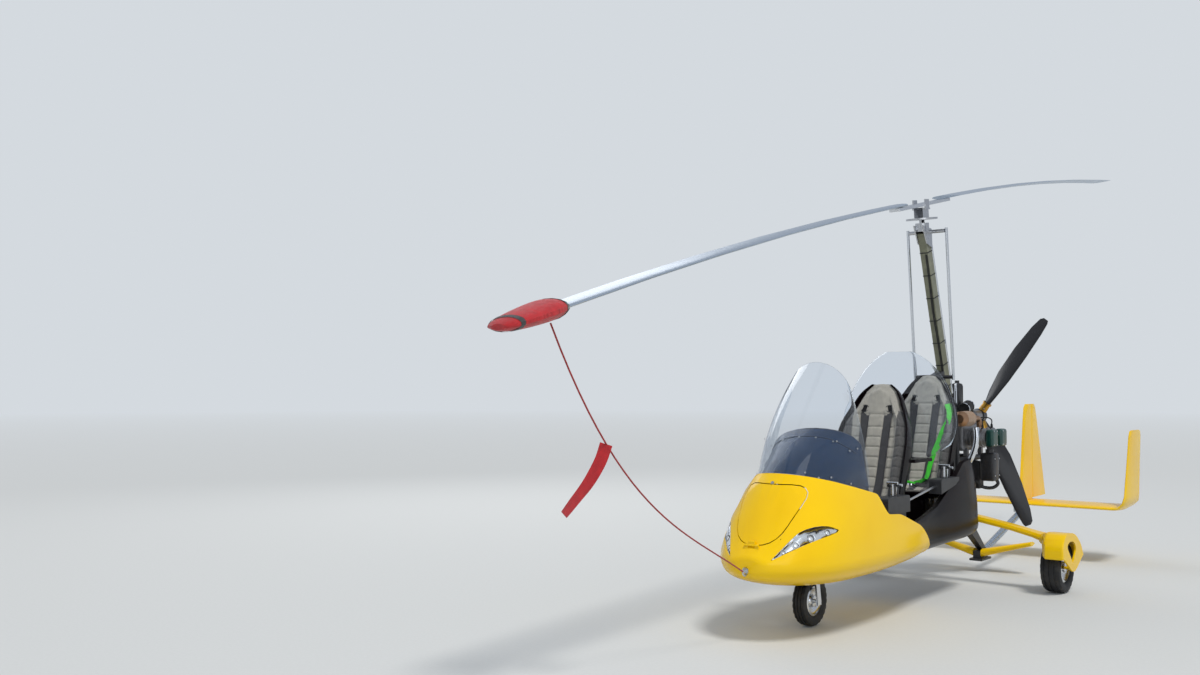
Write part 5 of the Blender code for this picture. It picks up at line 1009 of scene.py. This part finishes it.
heat_wrap = woven("heat_wrap", (0.360, 0.225, 0.125), (0.200, 0.120, 0.070), 0.002, 0.8)
cover_x, gearbox = 0.2995, Vector((0, 0.942, 1.04))
bolts, leads, wrap = bmesh.new(), bmesh.new(), bmesh.new()
for z in (0.74, 0.86):
    for y in (0.60, 0.68):
        add_screw(bolts, (0.268, y, z), (1, 0, 0), 0.006)
for side in (-1, 1):
    for y in (0.510, 0.570, 0.685, 0.745):
        for z in (0.962, 1.058):
            add_screw(bolts, (side * cover_x, y, z), (side, 0, 0), 0.006, 0.0015)
    for y in (0.540, 0.715):
        add_rod(leads, (side * 0.205, y, 1.066), (side * 0.205, y, 1.104), 0.010, 12, 0.008)
        add_hose(leads, [(side * 0.205, y, 1.10), (side * 0.200, y + 0.01, 1.135), (side * 0.15, y + 0.04, 1.150),
                         (side * 0.07, y + 0.09, 1.140), (side * 0.04, 0.80, 1.11)], 0.0045, 8)
for k in range(6):
    add_screw(bolts, gearbox + around(60 * k + 20, 0.064), (0, 1, 0), 0.006)
finish_piece("engine_bolts", bolts, bright_steel)
finish_piece("ignition_leads", leads, soft_rubber)
sweep(wrap, [Vector((0.185, 0.205 + 0.010 * k, 1.150)) for k in range(15)], 0.0535, 24, 0.012)
finish_piece("exhaust_wrap", wrap, heat_wrap)
print("engine dressed")

# %% [markdown]
# The propeller blades are clamped in amber anodised roots around a dark hub. Each clamp is a short turned
# barrel on the blade's axis with a flange, and it spins with the propeller.

# %% Propeller root clamps
hub = Vector((0, 1.0, 1.154))
first_blade = 53.8
clamps, hub_bolts = bmesh.new(), bmesh.new()
for turn in (first_blade, first_blade + 120, first_blade + 240):
    out = around(turn)
    add_rod(clamps, hub + out * 0.052, hub + out * 0.115, 0.031, 28, 0.027)
    add_rod(clamps, hub + out * 0.108, hub + out * 0.120, 0.033, 28)
    for side in (-1, 1):
        aside = out.cross(Vector((0, 1, 0))) * 0.012 * side
        add_screw(hub_bolts, hub + out * 0.075 + Vector((0, -0.030, 0)) + aside, (0, -1, 0), 0.005)
for k in range(6):
    add_screw(hub_bolts, hub + around(60 * k, 0.026) + Vector((0, 0.044, 0)), (0, 1, 0), 0.0055)
finish_piece("root_clamps", clamps, amber_metal, "propeller")
finish_piece("hub_bolts", hub_bolts, bright_steel, "propeller")
print("three root clamps")

# %% [markdown]
# While it is parked, the front blade is held down by a red line from its cloth cover to the hook on the nose,
# with a blank red streamer on it as a warning. The line is light and slack, so it sags.

# %% Tie-down line and streamer
line_low, line_high = Vector((0, -2.306, 0.392)), Vector((-0.040, -3.800, 1.650))
line_steps, line_sag, line_radius = 24, 0.24, 0.0042
streamer_width, streamer_from = 0.060, 18
line_route = []
for k in range(line_steps + 1):
    t = k / line_steps
    sag = line_sag * 4 * t * (1 - t) * (0.50 + 1.0 * t)
    line_route.append(line_low.lerp(line_high, t) - Vector((0, 0, sag)))
line = bmesh.new()
sweep(line, line_route, line_radius, 8)
tie_line = finish_piece("tie_down_line", line, red_cord, None)
fall = ((0, 0, 0), (-0.018, -0.022, -0.080), (-0.060, -0.055, -0.175), (-0.108, -0.092, -0.255),
        (-0.150, -0.122, -0.322))
streamer = strap("streamer", shifted(line_route[streamer_from], fall), streamer_width, 0.0012, red_cloth,
                 lambda t: (0.8, 0.5 - 0.5 * t, 0.25), body=None)
for item in (tie_line, streamer):
    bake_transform(item)
print("line", round(sum((b - a).length for a, b in zip(line_route, line_route[1:])), 2), "m")

# %% [markdown]
# The cover is gathered by a black band near its tip and has a black hem at its mouth. Each is a slice of the
# cover's own skin, cut by two planes and lifted off it by a millimetre.

# %% Bands of the blade cover
band_lift = 0.0012
for label, y_low, y_high in (("cover_band", -4.082, -4.062), ("cover_mouth", -3.812, -3.700)):
    band = bmesh.new()
    band.from_mesh(skins["blade_cover"].data)
    for y, way in ((y_low, -1), (y_high, 1)):
        bmesh.ops.bisect_plane(band, geom=band.verts[:] + band.edges[:] + band.faces[:], plane_co=(0, y, 0),
                               plane_no=(0, way, 0), clear_outer=True)
    band.normal_update()
    for vert in band.verts:
        vert.co += vert.normal * band_lift
    finish_piece(label, band, dark_cloth, "rotor")
print("band and hem on the cover")

# %% [markdown]
# Tyres and wheels. The tread is cut into the tyre's own profile: a ring of points is spun round the axle with
# three grooves in it, and the shoulders of every third slice are pressed in, which leaves blocks. The wheel
# gets its bolts.

# %% Tyre treads
tread_slices, groove_depth, block_depth = 72, 0.005, 0.0045
rim_gap, bolt_count, bolt_circle = 0.0006, 5, 0.034


def tread_profile(rim_radius, radius, half_width):
    """Half of a tyre's section from the bead to the middle groove, mirrored to the other bead."""
    half = [(rim_radius, 0.62), (rim_radius + 0.010, 0.86), (rim_radius + (radius - rim_radius) * 0.5, 0.985),
            (radius * 0.955, 0.90), (radius * 0.982, 0.72)]
    side_crown, middle_crown = radius * 0.992, radius * 0.998
    half += [(side_crown, 0.60), (side_crown - groove_depth, 0.57), (side_crown - groove_depth, 0.43),
             (side_crown, 0.40), (middle_crown, 0.10), (middle_crown - groove_depth, 0.07)]
    return [(r, -half_width * x) for r, x in half] + [(r, half_width * x) for r, x in half[::-1]]


def treaded_tyre(name, middle, radius, half_width, rim_radius):
    shape = bmesh.new()
    verts = [shape.verts.new(middle + Vector((x, 0, r))) for r, x in tread_profile(rim_radius, radius, half_width)]
    edges = [shape.edges.new((a, b)) for a, b in zip(verts, verts[1:] + verts[:1])]
    bmesh.ops.spin(shape, geom=verts + edges, cent=middle, axis=(1, 0, 0), angle=math.tau, steps=tread_slices,
                   use_merge=True)
    for vert in shape.verts:
        away = vert.co - middle
        aside, away.x = abs(away.x) / half_width, 0
        slice_number = round(math.atan2(away.z, away.y) / math.tau * tread_slices)
        if slice_number % 3 == 0 and away.length > radius * 0.94 and aside > 0.55:
            vert.co -= away.normalized() * block_depth
    bmesh.ops.recalc_face_normals(shape, faces=shape.faces)
    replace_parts(finish_piece(f"{name}_tread", shape, soft_rubber, name, 50), f"{name}_tyre")


wheels = {
    "nose_wheel": (Vector((0, -1.600, 0.145)), 0.1440, 0.0400),
    "main_wheel_port": (Vector((0.750, 0.410, 0.168)), 0.1668, 0.0678),
    "main_wheel_starboard": (Vector((-0.750, 0.410, 0.168)), 0.1668, 0.0678),
}
for name, (middle, radius, half_width) in wheels.items():
    rim_radius = max(math.hypot(v.co.y - middle.y, v.co.z - middle.z) for v in nodes[f"{name}_rim"].data.vertices)
    treaded_tyre(name, middle, radius, half_width, rim_radius + rim_gap)
    bpy.data.objects.remove(skins.pop(f"{name}_tyre"))
    trim = bmesh.new()
    for side in (-1, 1):
        face_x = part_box(f"{name}_rim")[side > 0][0] - side * 0.002
        for k in range(bolt_count):
            turn = k * math.tau / bolt_count
            spoke = Vector((0, math.cos(turn), math.sin(turn))) * bolt_circle
            add_screw(trim, Vector((face_x, middle.y, middle.z)) + spoke, (side, 0, 0), 0.006)
    finish_piece(f"{name}_bolts", trim, bright_steel, name)
print("treads:", list(wheels))

# %% [markdown]
# A pale floor and a pale sky stand in for the studio. The floor fades into the backdrop's colour with
# distance, so no horizon shows. The sky is what the gloss and the chrome reflect, the large lamps give soft
# form, and one stronger lamp high on the port side throws the short noon shadow.

# %% Floor, sky and lamps
haze_colour = (0.66, 0.70, 0.74, 1)
floor_size, fade_from, fade_to = 400, 12.0, 60.0
floor_mesh = bmesh.new()
bmesh.ops.create_grid(floor_mesh, x_segments=1, y_segments=1, size=floor_size)
floor = put("floor", mesh_of("floor", floor_mesh))
floor_finish = new_material("floor_finish", (0.62, 0.63, 0.62), 0.9)
vary_colour(floor_finish, speckle(floor_finish, 0.02), (0.61, 0.62, 0.61), (0.63, 0.64, 0.63))
far_off = node(floor_finish, "ShaderNodeVectorMath", operation="LENGTH")
join(place_on(floor_finish), far_off, 0)
fade = node(floor_finish, "ShaderNodeMapRange", From_Min=fade_from, From_Max=fade_to)
join(far_off.outputs["Value"], fade, "Value")
blend = node(floor_finish, "ShaderNodeMixShader")
join(fade.outputs["Result"], blend, "Fac")
join(shader_of(floor_finish).outputs["BSDF"], blend, 1)
join(node(floor_finish, "ShaderNodeEmission", Color=haze_colour).outputs["Emission"], blend, 2)
join(blend.outputs["Shader"], floor_finish.node_tree.nodes["Material Output"], "Surface")
floor.data.materials.append(floor_finish)

world = bpy.data.worlds.new("sky")
scene.world = world
world.use_nodes = True
sky = world.node_tree.nodes["Background"]
sky.inputs["Color"].default_value = (0.82, 0.89, 1.0, 1)
sky.inputs["Strength"].default_value = 0.52
ray = node(world, "ShaderNodeLightPath")
seen = node(world, "ShaderNodeMath", operation="MAXIMUM")
join(ray.outputs["Is Camera Ray"], seen, 0)
join(ray.outputs["Is Transmission Ray"], seen, 1)
either = node(world, "ShaderNodeMixShader")
join(seen.outputs["Value"], either, "Fac")
join(sky.outputs["Background"], either, 1)
join(node(world, "ShaderNodeBackground", Color=haze_colour).outputs["Background"], either, 2)
join(either.outputs["Shader"], world.node_tree.nodes["World Output"], "Surface")


def lamp(name, place, target, size, power, colour=(1, 1, 1)):
    data = bpy.data.lights.new(name, "AREA")
    data.energy, data.size, data.color = power, size, colour
    item = put(name, data)
    item.location = place
    aim(item, Vector(target) - Vector(place))


sun_data = bpy.data.lights.new("soft sun", "SUN")
sun_data.energy, sun_data.angle, sun_data.color = 1.9, math.radians(14), (1.0, 0.97, 0.92)
sun = put("soft sun", sun_data)
aim(sun, (-0.42, 0.20, -0.90))
sun.visible_glossy = False
sun.visible_transmission = False
lamp("fill", (6.0, -8.0, 4.0), (0, -0.8, 1.0), 6.0, 130, (0.92, 0.96, 1.0))
lamp("rim", (-7.0, 3.0, 6.0), (0, 0, 1.0), 5.0, 110)
